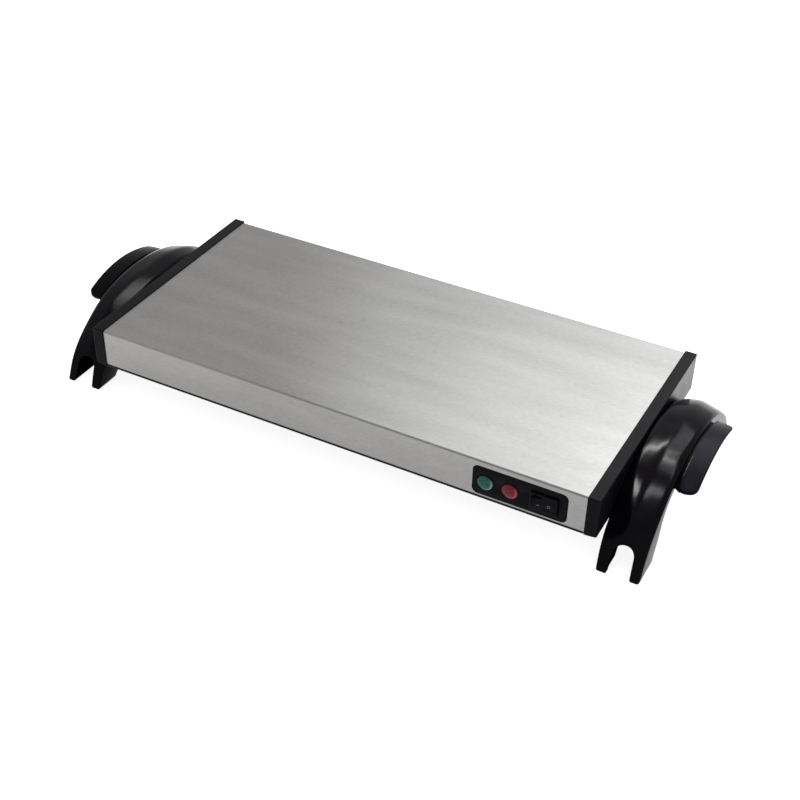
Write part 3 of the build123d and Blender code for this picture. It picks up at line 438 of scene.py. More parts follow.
# The same polypropylene in the feet's notches, as painted shade: a dull copy with no reflection at all, so
# the notches stay dark
NOTCH_PAINTED_SHADE = Finish(
    "dull_moulded_polypropylene", "060509", "0A090D", 0.6, drift=0.03, patch_mm=9.0, grain_mm=0.8,
    depth_mm=0.01, specular=0.0,
)
# ABS moulded with a fine spark texture: the panel is satin and faintly grained
PANEL_ABS = Finish(
    "spark_textured_abs", "0A0A0F", "101016", 0.42, patch_mm=12.0, grain_mm=0.5, depth_mm=0.02,
    specular=0.04,
)
# Nylon switch mouldings: smooth, a little glossier than the panel
SWITCH_NYLON = Finish(
    "smooth_moulded_nylon", "07070B", "0C0C12", 0.3, patch_mm=6.0, grain_mm=0.5, depth_mm=0.01,
    specular=0.05,
)
# Pad-printing ink: a thin, even, matt grey
PAD_INK = Finish(
    "grey_pad_printing_ink", "74747A", "82828A", 0.55, patch_mm=1.0, grain_mm=0.2, depth_mm=0.005
)
# Brass, stamped: warm with a tarnish drift
STAMPED_BRASS = Finish(
    "stamped_brass", "B08D3E", "CDA95A", 0.3, patch_mm=4.0, grain_mm=0.6, depth_mm=0.01, metallic=1.0
)
# Aluminium sheet, rolled: pale with long rolling marks
ROLLED_ALUMINIUM = BrushedSheet(
    "rolled_aluminium_sheet", "BDBFC1", "D2D3D5", 0.36, patch_mm=30.0, grain_mm=1.2, stretch=20.0,
    depth_mm=0.006, streak=0.5, metallic=1.0, anisotropy=0.4,
)
# Mica paper, pressed with resin: tan with darker flakes
PRESSED_MICA = Finish(
    "pressed_mica_paper", "A08A5E", "C9B688", 0.45, patch_mm=5.0, grain_mm=1.0, depth_mm=0.03, streak=0.6
)
# Mineral fibre, needled into a blanket: off-white, matt and hairy
NEEDLED_FIBRE = Finish(
    "needled_mineral_fibre", "CFC9B8", "E8E4D8", 0.95, patch_mm=9.0, grain_mm=1.4, depth_mm=0.4,
    streak=0.5, specular=0.1,
)
# Iron-chromium resistance strip, rolled and heat-tinted: a dull, brownish grey
RESISTANCE_STRIP = Finish(
    "rolled_resistance_alloy", "6F6A60", "8C867B", 0.45, patch_mm=8.0, grain_mm=0.6, depth_mm=0.01,
    metallic=1.0,
)
# Phenolic resin, pressed: dark brown with a dull bloom
PRESSED_PHENOLIC = Finish(
    "pressed_phenolic", "241712", "34231B", 0.4, patch_mm=5.0, grain_mm=0.6, depth_mm=0.02
)
# Porcelain, glazed: off-white with a soft coat
GLAZED_PORCELAIN = Finish(
    "glazed_porcelain", "DAD6CC", "ECE9E2", 0.2, patch_mm=8.0, grain_mm=2.0, depth_mm=0.02, coat=0.4
)
# Lamp glass, drawn: clear and a little wavy
LAMP_GLASS = Finish(
    "drawn_lamp_glass", "E8E4DC", "F2F0EA", 0.08, drift=0.02, patch_mm=6.0, grain_mm=3.0, depth_mm=0.01,
    transmission=0.7,
)


# Meshes


def only(piece: Piece) -> None:
    """Make one object the whole selection and the active one.

    Args:
        piece: The object.
    """
    bpy.ops.object.select_all(action="DESELECT")
    piece.select_set(True)
    bpy.context.view_layer.objects.active = piece


def settle(piece: Piece, name: str) -> None:
    """Name a finished piece and put its place into its mesh.

    Args:
        piece: The object.
        name: The piece's name.
    """
    only(piece)
    bpy.ops.object.transform_apply(location=True, rotation=True, scale=True)
    piece.name = piece.data.name = name


def edit(piece: Piece, *steps: tuple[str, dict]) -> None:
    """Run edit-mode operators on the whole mesh.

    Args:
        piece: The object.
        *steps: Names of mesh operators with their settings.
    """
    only(piece)
    bpy.ops.object.mode_set(mode="EDIT")
    bpy.ops.mesh.select_all(action="SELECT")
    for operator, settings in steps:
        getattr(bpy.ops.mesh, operator)(**settings)
    bpy.ops.object.mode_set(mode="OBJECT")


def modify(piece: Piece, kind: str, **settings: object) -> None:
    """Add a modifier and apply it.

    Args:
        piece: The object.
        kind: The modifier's type.
        **settings: Its properties.
    """
    only(piece)
    modifier = piece.modifiers.new(kind.lower(), kind)
    for name, value in settings.items():
        setattr(modifier, name, value)
    bpy.ops.object.modifier_apply(modifier=modifier.name)


def cut(piece: Piece, cutter: Piece, operation: str = "DIFFERENCE") -> None:
    """Cut a piece with another, or keep what they share, and delete the cutter."""
    modify(piece, "BOOLEAN", object=cutter, operation=operation, solver="EXACT")
    bpy.data.objects.remove(cutter, do_unlink=True)


def soften(
    piece: Piece, width_mm: float, degrees: float, segments: int = 3, miter: str = "MITER_SHARP"
) -> None:
    """Round the edges that are sharper than an angle.

    Args:
        piece: The object.
        width_mm: How far each round reaches.
        degrees: The angle.
        segments: Faces across each round.
        miter: How the rounds meet at an outer corner.
    """
    modify(
        piece, "BEVEL", width=width_mm * MM, segments=segments, limit_method="ANGLE",
        angle_limit=math.radians(degrees), miter_outer=miter, use_clamp_overlap=True,
    )


def smooth(piece: Piece, degrees: float = SMOOTH_DEGREES) -> None:
    """Shade smooth across edges flatter than an angle."""
    only(piece)
    bpy.ops.object.shade_smooth_by_angle(angle=math.radians(degrees))


def dress(piece: Piece, finish: Finish) -> None:
    """Give a piece one finish all over."""
    piece.data.materials.clear()
    piece.data.materials.append(finish.material())


def circle(steps: int) -> np.ndarray:
    """Angles of points evenly round a circle."""
    return np.linspace(0, 2 * math.pi, steps, endpoint=False)


def rounded(points: Sequence[Point], radii: Sequence[float], steps: int, between: int = 0) -> np.ndarray:
    """Round the corners of a closed outline.

    Args:
        points: The corners in order.
        radii: How far each round reaches along its sides, kept under half of each side.
        steps: Points for each corner.
        between: Points on each side, so that its shading stays flat.

    Returns:
        steps and between points for every corner, in order.
    """
    corners = np.array(points, float)
    rounds = []
    for index, corner in enumerate(corners):
        before, after = corners[index - 1] - corner, corners[(index + 1) % len(corners)] - corner
        lengths = np.linalg.norm(before), np.linalg.norm(after)
        reach = min(radii[index], SIDE_SHARE * lengths[0], SIDE_SHARE * lengths[1])
        start = corner + before / max(lengths[0], SHORTEST) * reach
        end = corner + after / max(lengths[1], SHORTEST) * reach
        t = np.linspace(0, 1, steps)[:, None]
        rounds.append((1 - t) ** 2 * start + 2 * t * (1 - t) * corner + t * t * end)
    rows = []
    for here, after in zip(rounds, [*rounds[1:], rounds[0]]):
        share = np.linspace(0, 1, between + 2)[1:-1, None]
        rows += [here, here[-1] * (1 - share) + after[0] * share]
    return np.concatenate(rows)


def spline(knots: np.ndarray, values: np.ndarray, at: np.ndarray) -> np.ndarray:
    """Run a natural cubic through rows of values.

    Args:
        knots: Where the rows lie, rising.
        values: One row for each knot.
        at: Where to read the curve.

    Returns:
        One row for each place in at.
    """
    count, gaps = len(knots), np.diff(knots)
    system, target = np.eye(count), np.zeros_like(values)
    slopes = np.diff(values, axis=0) / gaps[:, None]
    for i in range(1, count - 1):
        system[i, i - 1 : i + 2] = gaps[i - 1], 2 * (gaps[i - 1] + gaps[i]), gaps[i]
        target[i] = 6 * (slopes[i] - slopes[i - 1])
    bends = np.linalg.solve(system, target)
    i = np.clip(np.searchsorted(knots, at) - 1, 0, count - 2)
    h, left, right = gaps[i][:, None], (at - knots[i])[:, None], (knots[i + 1] - at)[:, None]
    return (
        (bends[i] * right**3 + bends[i + 1] * left**3) / (6 * h)
        + (values[i] / h - bends[i] * h / 6) * right
        + (values[i + 1] / h - bends[i + 1] * h / 6) * left
    )


def skin(name: str, rings: np.ndarray) -> Piece:
    """Lay a closed skin through rings of points in millimetres, as a grid rolled up and capped.

    Args:
        name: The object's name.
        rings: Points by ring, by place in the ring and by axis.

    Returns:
        The new object.
    """
    count, around = rings.shape[:2]
    bpy.ops.object.select_all(action="DESELECT")
    bpy.ops.mesh.primitive_grid_add(x_subdivisions=around, y_subdivisions=count - 1, size=1)
    piece = bpy.context.object
    closed = np.concatenate([rings, rings[:, :1]], axis=1)
    piece.data.vertices.foreach_set("co", (closed * MM).astype(np.float32).ravel())
    edit(piece, ("remove_doubles", {"threshold": SKIN_WELD_MM * MM}))
    edit(piece, ("select_all", {"action": "DESELECT"}), ("select_non_manifold", {}), ("edge_face_add", {}))
    edit(piece, ("normals_make_consistent", {"inside": False}))
    piece.name = name
    return piece


def prism(name: str, outline: np.ndarray, low: float, high: float, axis: Axis) -> Piece:
    """Stand a prism on an outline in millimetres.

    Args:
        name: The object's name.
        outline: Points in the plane of the other two axes, in X, Y, Z order.
        low: Where it starts along the axis.
        high: Where it ends.
        axis: The axis that it stands along.

    Returns:
        The new object.
    """
    bpy.ops.object.select_all(action="DESELECT")
    bpy.ops.mesh.primitive_cylinder_add(vertices=len(outline), radius=1, depth=1)
    piece = bpy.context.object
    others = [other for other in Axis if other != axis]
    for index, vertex in enumerate(piece.data.vertices):
        place = [0.0, 0.0, 0.0]
        place[axis] = (low if vertex.co.z < 0 else high) * MM
        place[others[0]], place[others[1]] = (float(c) * MM for c in outline[index // 2])
        vertex.co = place
    edit(piece, ("normals_make_consistent", {"inside": False}))
    piece.name = name
    return piece


def copy_of(node: str, name: str, soften_mm: float = 0.0, degrees: float = 32.0) -> Piece:
    """Copy a CAD node with its loose triangles merged, its small edge rounds added and its shading smooth.

    Args:
        node: The CAD node that the copy stands for.
        name: The copy's name.
        soften_mm: Width of the edge rounds, or none.
        degrees: Edges flatter than this are shaded smooth.

    Returns:
        The copy, riding on its body.
    """
    source = frame["nodes"][node]
    piece = bpy.data.objects.new(name, source.data.copy())
    bpy.context.scene.collection.objects.link(piece)
    piece.data.name = name
    only(piece)
    if piece.data.has_custom_normals:
        bpy.ops.mesh.customdata_custom_splitnormals_clear()
    edit(piece, ("remove_doubles", {"threshold": SOLID_WELD_MM * MM}))
    if soften_mm:
        edit(piece, ("dissolve_limited", {"angle_limit": math.radians(FLAT_DEGREES)}))
        soften(piece, soften_mm, degrees=50.0, segments=2, miter="MITER_ARC")
    smooth(piece, degrees)
    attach(piece, ROCKER if node == "switch_rocker" else TRAY)
    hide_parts(node)
    LOG.info("%s: %d faces, from the solid", name, len(piece.data.polygons))
    return piece


@dataclass
class Handle:
    """One arched handle: creased skin on forked feet, screw bosses and grip lip, in millimetres."""

    side: Side
    root_x: float = 250.0
    width: float = 40.0
    half_depth: float = 117.0
    crest: float = 69.2
    wall: float = 2.8
    ridge_rise: float = 8.8
    foot: float = 30.0
    inner_round: float = 2.0
    outer_round: float = 1.3
    cut_round: float = 0.9
    # Edges sharper than this many degrees are rounded
    sharp: float = 60.0
    # Points between two sections, in each of their corners and on each of their sides
    steps_between: int = 8
    corner_steps: int = 5
    side_steps: int = 2
    # The notch in each foot: its centre is a share of the width, and its walls face it by more than a share
    notch_height: float = 26.0
    notch_top: float = 18.0
    notch_foot: float = 20.0
    notch_centre: float = 0.54
    notch_facing: float = 0.3
    notch_steps: int = 33
    # The prongs' rounded corners, and how far their inner sides slope away from the cap below it
    prong_round: float = 1.7
    prong_steps: int = 9
    prong_draft: float = 2.6
    cap_low: float = 33.1
    # The screw bosses
    boss_y: float = 38.0
    boss_z: float = 58.5
    boss_start: float = 0.3
    boss_length: float = 15.0
    boss: float = 9.5
    boss_bore: float = 4.1
    boss_steps: int = 48
    # The grip lip: its arch, its drop from the crest, the groove before it and its reach from the handle
    lip_radius: float = 118.0
    lip_thickness: float = 2.6
    lip_drop: float = 0.7
    lip_groove: float = 2.5
    lip_groove_depth: float = 2.4
    lip_shelf: float = 1.0
    lip_embed: float = 1.6
    lip_reach: float = 19.0
    lip_corner: float = 9.0
    # The back end of the lip is tucked in at its root
    lip_root_half: float = 51.0
    lip_tip_half: float = 47.0
    lip_tuck: float = 3.5
    lip_root_round: float = 2.0
    # The front end is longer and rounder
    lip_front_root: float = 49.0
    lip_front_half: float = 54.3
    lip_front_tip: float = 51.2
    lip_front_crown: float = 7.0
    # How far the plan lies past the lip's root, groove and tip, and the arch past the plan
    lip_spare: float = 1.0
    lip_skim: float = 0.01
    lip_margin: float = 6.0
    lip_cut_round: float = 0.7
    lip_arch_steps: int = 73
    lip_profile_steps: int = 5
    lip_plan_steps: int = 12
    # Rounds of the lip's profile, from its root under the shelf to the tip and back to the groove
    lip_rounds: Row = (0.1, 0.8, 0.8, 1.0, 1.0, 0.7, 0.7, 0.1)
    # Rounds of the plan's corners inside the skin
    hidden_round: float = 0.1
    # Sections along the front half of the arch, from the foot to the crest, as shares of the sizes above.
    # First the arch's own line
    arch_y: Row = (-1.028, -0.973, -0.923, -0.857, -0.774, -0.667, -0.534, -0.376, -0.192, 0.0)
    arch_z: Row = (-0.116, 0.108, 0.275, 0.419, 0.549, 0.682, 0.817, 0.919, 0.983, 1.0)
    # The ridge's height, and the creases on its inner and outer side: across the handle and out of the arch
    ridge: Row = (0.03, 0.06, 0.14, 0.41, 0.52, 0.6, 0.58, 0.53, 0.49, 0.42)
    inner_x: Row = (0.24, 0.24, 0.27, 0.4, 0.385, 0.315, 0.21, 0.125, 0.115, 0.14)
    inner_n: Row = (0.5, 0.5, 0.6, 0.8, 0.785, 0.745, 0.685, 0.665, 0.67, 0.69)
    outer_x: Row = (0.775, 0.775, 0.78, 0.825, 0.87, 0.9, 0.905, 0.895, 0.89, 0.91)
    outer_n: Row = (0.5, 0.5, 0.45, 0.335, 0.29, 0.265, 0.265, 0.29, 0.33, 0.38)
    # The edge beside the cap, the depth of both walls and the channel's two sides
    edge_n: Row = (0.0, 0.0, 0.0, 0.0, 0.0, 0.0, 0.0, 0.05, 0.2, 0.25)
    inner_wall: Row = (0.7, 0.73, 0.8, 0.8, 0.7, 0.43, 0.33, 0.38, 0.45, 0.46)
    outer_wall: Row = (1.0, 1.0, 0.93, 0.88, 0.74, 0.43, 0.31, 0.37, 0.43, 0.45)
    channel_in: Row = (0.2625, 0.2625, 0.2625, 0.23, 0.15, 0.09, 0.07, 0.07, 0.07, 0.07)
    channel_out: Row = (0.795, 0.795, 0.795, 0.825, 0.875, 0.915, 0.93, 0.93, 0.93, 0.93)
    # How far each corner's round reaches, from the inner wall's foot over the ridge and back inside
    rounds: Row = (1.0, 1.2, 1.2, 3.0, 4.0, 3.5, 0.8, 0.8, 1.0, 1.0, 2.0, 3.0, 2.0, 1.0)

    def section(self, i: int) -> list[Point]:
        """Find the corners of one section.

        Args:
            i: The section's number from the foot.

        Returns:
            Places across the handle and out of the arch.
        """
        rise, w = self.ridge[i] * self.ridge_rise, self.width
        inner_foot, outer_foot = -self.inner_wall[i] * self.foot, -self.outer_wall[i] * self.foot
        edge = self.edge_n[i]
        return [
            (0, inner_foot),
            (0, edge * rise - self.inner_round),
            (self.inner_round, edge * (rise + self.inner_round)),
            (self.inner_x[i] * w, self.inner_n[i] * rise),
            (w / 2, rise),
            (self.outer_x[i] * w, self.outer_n[i] * rise),
            (w - self.outer_round, 0),
            (w, -self.outer_round),
            (w, outer_foot),
            (self.channel_out[i] * w, outer_foot),
            (self.channel_out[i] * w, -self.wall),
            (w / 2, rise - self.wall),
            (self.channel_in[i] * w, -self.wall),
            (self.channel_in[i] * w, inner_foot),
        ]

    def rings(self) -> np.ndarray:
        """Run the sections along the whole arch.

        Returns:
            Rings of the skin, in millimetres.
        """
        half = np.array([(y * self.half_depth, z * self.crest) for y, z in zip(self.arch_y, self.arch_z)])
        arch = np.concatenate([half, half[-2::-1] * (-1, 1)])
        order = [*range(len(half)), *range(len(half) - 2, -1, -1)]
        last = len(arch) - 1
        corners = []
        for place, i in enumerate(order):
            run = arch[min(place + 1, last)] - arch[max(place - 1, 0)]
            along, up = run / np.linalg.norm(run)
            corners.append([(x, *(arch[place] + n * np.array((-up, along)))) for x, n in self.section(i)])
        corners = np.array(corners)
        knots = np.concatenate([[0], np.cumsum(np.linalg.norm(np.diff(arch, axis=0), axis=1))])
        stretches = [np.linspace(a, b, self.steps_between + 1) for a, b in zip(knots[:-1], knots[1:])]
        at = np.unique(np.concatenate(stretches).round(SAME_DIGITS))
        flat = spline(knots, corners.reshape(len(knots), -1), at).reshape(len(at), -1, 3)
        rings = np.array([rounded(ring, self.rounds, self.corner_steps, self.side_steps) for ring in flat])
        rings[:, :, 0] = self.side.value * (self.root_x + rings[:, :, 0])
        return rings

    def quarter(self, x: float, turn: float) -> list[Point]:
        """A quarter round of a prong's corner.

        Args:
            x: Where the prong's side stands.
            turn: 1 if the prong lies towards +X of that side, -1 if towards -X.

        Returns:
            Points from the side down to the floor.
        """
        r = self.prong_round
        angles = np.linspace(0, math.pi / 2, self.prong_steps)
        return [(x + turn * r * (1 - math.cos(a)), r * (1 - math.sin(a))) for a in angles]

    def cutters(self) -> list[Piece]:
        """Shape what the feet lose.

        Returns:
            The round-topped notch that forks both feet, and the corners off the prongs' two sides.
        """
        x, top, height = self.root_x + self.notch_centre * self.width, self.notch_top / 2, self.notch_height
        flare = (self.notch_foot - self.notch_top) / 2 / (height - top)
        foot = self.notch_foot / 2 - flare * self.prong_round
        angles = np.linspace(0, math.pi, self.notch_steps)
        arc = [(x + top * math.cos(a), height - top + top * math.sin(a)) for a in angles]
        right, left = self.quarter(x + foot, 1), self.quarter(x - foot, -1)
        low = -self.foot
        notch = [(right[-1][0], low), *right[::-1], *arc, *left, (left[-1][0], low)]
        inner = self.root_x + self.prong_draft * (1 - self.prong_round / self.cap_low)
        slope = [(self.root_x, self.cap_low), *self.quarter(inner, 1)]
        nearest, furthest = self.root_x - self.foot, self.root_x + self.width + self.foot
        slope += [(slope[-1][0], low), (nearest, low), (nearest, self.cap_low)]
        outer = self.quarter(self.root_x + self.width, -1)
        outer += [(outer[-1][0], low), (furthest, low), (furthest, outer[0][1])]
        made = []
        for outline in (notch, slope, outer):
            flat = np.array(outline)
            flat[:, 0] *= self.side.value
            made.append(prism("cutter", flat, -2 * self.half_depth, 2 * self.half_depth, Axis.Y))
        return made

    def shell(self) -> Piece:
        """Cut the skin's feet flat and fork them, and round the cut edges.

        Returns:
            The finished skin.
        """
        piece = skin("shell", self.rings())
        floor = {"plane_co": (0, 0, 0), "plane_no": (0, 0, 1), "use_fill": True, "clear_inner": True}
        edit(piece, ("bisect", floor))
        for cutter in self.cutters():
            cut(piece, cutter)
        soften(piece, self.cut_round, self.sharp)
        # A round can leave a point a hair under the floor
        for vertex in piece.data.vertices:
            vertex.co.z = max(vertex.co.z, 0)
        smooth(piece)
        return piece

    def shade_feet(self, piece: Piece) -> None:
        """Give the walls of the notches the painted shade, a dull copy of the finish with no reflection.

        Args:
            piece: The finished skin, with its own finish in the first slot.
        """
        # The painted shade for the notches' walls
        piece.data.materials.append(NOTCH_PAINTED_SHADE.material())
        middle = self.side.value * (self.root_x + self.notch_centre * self.width) * MM
        reach = (self.notch_foot / 2 + self.outer_round) * MM
        top = (self.notch_height + self.outer_round) * MM
        for face in piece.data.polygons:
            off = face.center.x - middle
            roof = face.normal.z < -self.notch_facing
            wall = off * face.normal.x < -self.notch_facing * abs(off)
            if abs(off) < reach and face.center.z < top and (roof or wall):
                face.material_index = 1

    def lip(self) -> Piece:
        """Turn an arched band about an axis under the handle, and cut it to the grip lip's plan.

        Returns:
            The lip.
        """
        root = self.root_x + self.width
        centre_z = self.crest - self.lip_drop - self.lip_radius
        outer, inner = self.lip_radius, self.lip_radius - self.lip_thickness
        groove, floor = outer - self.lip_groove_depth, inner - self.lip_shelf
        start, wall, tip = root - self.lip_embed, root + self.lip_groove, root + self.lip_reach
        profile = rounded(
            [
                (start, floor), (wall + self.lip_thickness, floor), (wall + self.lip_thickness, inner),
                (tip, inner), (tip, outer), (wall, outer), (wall, groove), (start, groove),
            ],
            self.lip_rounds,
            self.lip_profile_steps,
        )
        turn = math.asin((self.lip_front_half + self.lip_margin) / outer)
        angles = np.linspace(-turn, turn, self.lip_arch_steps)
        rings = np.array(
            [[(x, r * math.sin(a), centre_z + r * math.cos(a)) for x, r in profile] for a in angles]
        )
        rings[:, :, 0] *= self.side.value
        piece = skin("lip", rings)
        hidden, past = start - self.lip_spare, tip + self.lip_skim
        corner, buried = self.lip_corner, self.hidden_round
        plan = rounded(
            [
                (hidden, -self.lip_front_root), (root + self.lip_front_crown, -self.lip_front_half),
                (past, -self.lip_front_tip), (past, self.lip_tip_half),
                (wall + self.lip_spare, self.lip_root_half), (hidden, self.lip_root_half - self.lip_tuck),
            ],
            (buried, corner, corner, corner, self.lip_root_round, buried),
            self.lip_plan_steps,
        )
        plan[:, 0] *= self.side.value
        cut(piece, prism("plan", plan, 0, 2 * self.crest, Axis.Z), "INTERSECT")
        soften(piece, self.lip_cut_round, self.sharp)
        smooth(piece)
        return piece

    def bosses(self) -> list[Piece]:
        """Turn the two screw bosses inside the channel, open where the screws go in.

        Returns:
            The front boss and the back boss.
        """
        made = []
        outside, bore = self.boss / 2, self.boss_bore / 2
        start, end = (self.side.value * (self.root_x + x) for x in (self.boss_start, self.boss_length))
        angles, z = circle(self.boss_steps), self.boss_z
        for y in (-self.boss_y, self.boss_y):
            rings = [
                [(x, y + radius * math.cos(a), z + radius * math.sin(a)) for a in angles]
                for x, radius in ((start, outside), (end, outside), (end, bore), (start, bore))
            ]
            grid = np.array([*rings, rings[0]]).transpose(1, 0, 2)
            piece = skin("boss", np.concatenate([grid, grid[:1]])[:, :-1])
            smooth(piece)
            made.append(piece)
        return made

    def build(self) -> None:
        """Model the handle's pieces and dress them."""
        shell, lip = self.shell(), self.lip()
        front, back = self.bosses()
        pieces = {"handle_skin": shell, "grip_lip": lip, "front_boss": front, "back_boss": back}
        for part, piece in pieces.items():
            name = f"{self.side.label}_{part}"
            settle(piece, name)
            dress(piece, SATIN_LIP if piece is lip else GLOSS_HANDLE)
            if piece is shell:
                self.shade_feet(piece)
            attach(piece, TRAY)
            LOG.info("%s: %d faces", name, len(piece.data.polygons))
        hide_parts(f"{self.side.label}_handle")


@dataclass
class Body:
    """Sleeve, cover and end caps as copies of the solids, and the pan's folded edges, in millimetres."""

    # The bottom pan's folded edge shows as a thin black line under the front and back skirts
    pan_half: float = 238.2
    pan_front: float = 117.4
    pan_thick: float = 1.3
    pan_low: float = 33.12
    pan_high: float = 34.35
    pan_round: float = 0.3
    pan_steps: int = 5
    # Faces of a cap or of the sleeve that point outwards by more than this share are its end face or a skirt
    end_facing: float = 0.985
    # Faces of the sleeve that point both up and forwards by more than this share are its front bend, which
    # takes the painted shade
    bend_facing: float = 0.62

    def pan_edge(self, name: str, sign: int) -> None:
        """Lay the pan's folded edge along one skirt.

        Args:
            name: The piece's name.
            sign: -1 for the front and 1 for the back.
        """
        outer, inner = sign * self.pan_front, sign * (self.pan_front - self.pan_thick)
        low, high = self.pan_low, self.pan_high
        corners = [(inner, low), (outer, low), (outer, high), (inner, high)]
        outline = rounded(corners, (self.pan_round,) * len(corners), self.pan_steps)
        piece = prism(name, outline, -self.pan_half, self.pan_half, Axis.X)
        smooth(piece)
        settle(piece, name)
        dress(piece, COATED_SHEET)
        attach(piece, TRAY)
        LOG.info("%s: %d faces", name, len(piece.data.polygons))

    def build(self) -> None:
        """Copy and dress the outer shell."""
        sleeve = copy_of("steel_sleeve", "brushed_sleeve")
        dress(sleeve, BRUSHED_STAINLESS)
        # The skirts take the lighter copy of the sheet as painted light, and the front bend takes the
        # painted shade
        for finish in (SKIRT_PAINTED_LIGHT, BEND_PAINTED_SHADE):
            sleeve.data.materials.append(finish.material())
        for face in sleeve.data.polygons:
            if abs(face.normal.y) > self.end_facing:
                face.material_index = 1
            elif face.normal.z > self.bend_facing and -face.normal.y > self.bend_facing:
                face.material_index = 2
        dress(copy_of("bottom_cover", "slotted_cover"), COATED_SHEET)
        for name, sign in (("front_pan_edge", -1), ("back_pan_edge", 1)):
            self.pan_edge(name, sign)
        for side in Side:
            cap = copy_of(f"{side.label}_end_cap", f"{side.label}_cap_moulding")
            dress(cap, SATIN_ABS)
            cap.data.materials.append(POLISHED_ABS.material())
            for face in cap.data.polygons:
                face.material_index = int(face.normal.x * side.value > self.end_facing)


@dataclass
class ControlPanel:
    """Panel, lenses and rocker switch, in millimetres."""

    # Each lens's tint, the second tint of its ribs, and the colour of the painted highlight on its rim
    lens_colours: dict[str, tuple[str, str, str]] = field(
        default_factory=lambda: {
            "green": ("0C3F37", "1F7162", "72B9A9"),
            "red": ("5A1119", "8A2530", "E24C60"),
        }
    )
    # How far behind its front the middle of a lens's pattern lies
    lens_depth: float = 2.0
    panel_round: float = 0.15
    bezel_round: float = 0.25
    rocker_round: float = 0.2
    # The rocker at rest: its pivot, its tilt in degrees, how far its face lies from the pivot, half its
    # length and how much its ends rise
    pivot: tuple[float, float, float] = (202.482, -116.75, 50.5)
    tilt: float = 11.0
    face: float = 2.0
    arm: float = 9.0
    end_rise: float = 1.95
    # The marks' place from the middle of the rocker, and how high their ink starts and ends over its face
    mark_offset: float = 4.6
    mark_drop: float = -1.2
    ink_low: float = 0.02
    ink_high: float = 0.09
    dash_half_length: float = 1.5
    dash_half_width: float = 0.22
    dash_round: float = 0.1
    dash_steps: int = 4
    ring_outer: float = 1.35
    ring_inner: float = 0.95
    ring_steps: int = 40

    def lens(self, colour: str) -> None:
        """Copy and dress one lens.

        Args:
            colour: The word that its CAD node starts with.
        """
        low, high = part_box(f"{colour}_lens")
        centre = (low + high) / 2 / MM
        body, second, rim = self.lens_colours[colour]
        piece = copy_of(f"{colour}_lens", f"{colour}_lens_moulding", degrees=50)
        dress(
            piece,
            LensMoulding(
                f"{colour}_tinted_acrylic", body, second, 0.14, depth_mm=0.15, specular=0.15, rim=rim,
                centre_mm=(centre.x, low.y / MM + self.lens_depth, centre.z),
            ),
        )

    def face_point(self, along: float, up: float, lift: float) -> tuple[float, float, float]:
        """Find a point on the rocker's face at rest.

        Args:
            along: How far from the middle of the face it lies, towards +X.
            up: How far above the middle.
            lift: How far off the face.

        Returns:
            The point, in metres.
        """
        slope = math.atan2(self.end_rise, self.arm)
        x = along * math.cos(slope)
        y = -self.face - abs(along) * math.sin(slope) - lift
        turn = math.radians(self.tilt)
        return (
            (self.pivot[0] + x * math.cos(turn) - y * math.sin(turn)) * MM,
            (self.pivot[1] + x * math.sin(turn) + y * math.cos(turn)) * MM,
            (self.pivot[2] + up) * MM,
        )

    def mark(self, name: str, outer: np.ndarray, inner: np.ndarray | None, along: float) -> None:
        """Print one mark on the rocker.

        Args:
            name: The piece's name.
            outer: Its outline about its own centre.
            inner: The outline of its hole, or none.
            along: Where its centre lies along the rocker.
        """
        levels = [(outer, self.ink_low), (outer, self.ink_high)]
        if inner is not None:
            levels = [(inner, self.ink_low), *levels, (inner, self.ink_high), (inner, self.ink_low)]
        rings = [
            [self.face_point(along + u, self.mark_drop + w, lift) for u, w in line] for line, lift in levels
        ]
        piece = skin(name, np.array(rings) / MM)
        settle(piece, name)
        dress(piece, PAD_INK)
        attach(piece, ROCKER)
        LOG.info("%s: %d faces", name, len(piece.data.polygons))

    def build(self) -> None:
        """Copy and dress the panel, the lenses and the switch, and print the switch's marks."""
        dress(copy_of("control_panel", "panel_moulding", self.panel_round), PANEL_ABS)
        for colour in self.lens_colours:
            self.lens(colour)
        dress(copy_of("switch_frame", "switch_bezel", self.bezel_round), SWITCH_NYLON)
        dress(copy_of("switch_rocker", "rocker_key", self.rocker_round), SWITCH_NYLON)
        u, w = self.dash_half_length, self.dash_half_width
        dash = rounded([(-u, -w), (u, -w), (u, w), (-u, w)], (self.dash_round,) * 4, self.dash_steps)
        self.mark("on_mark", dash, None, -self.mark_offset)
        ring = np.array([(math.cos(a), math.sin(a)) for a in circle(self.ring_steps)])
        self.mark("off_mark", ring * self.ring_outer, ring * self.ring_inner, self.mark_offset)


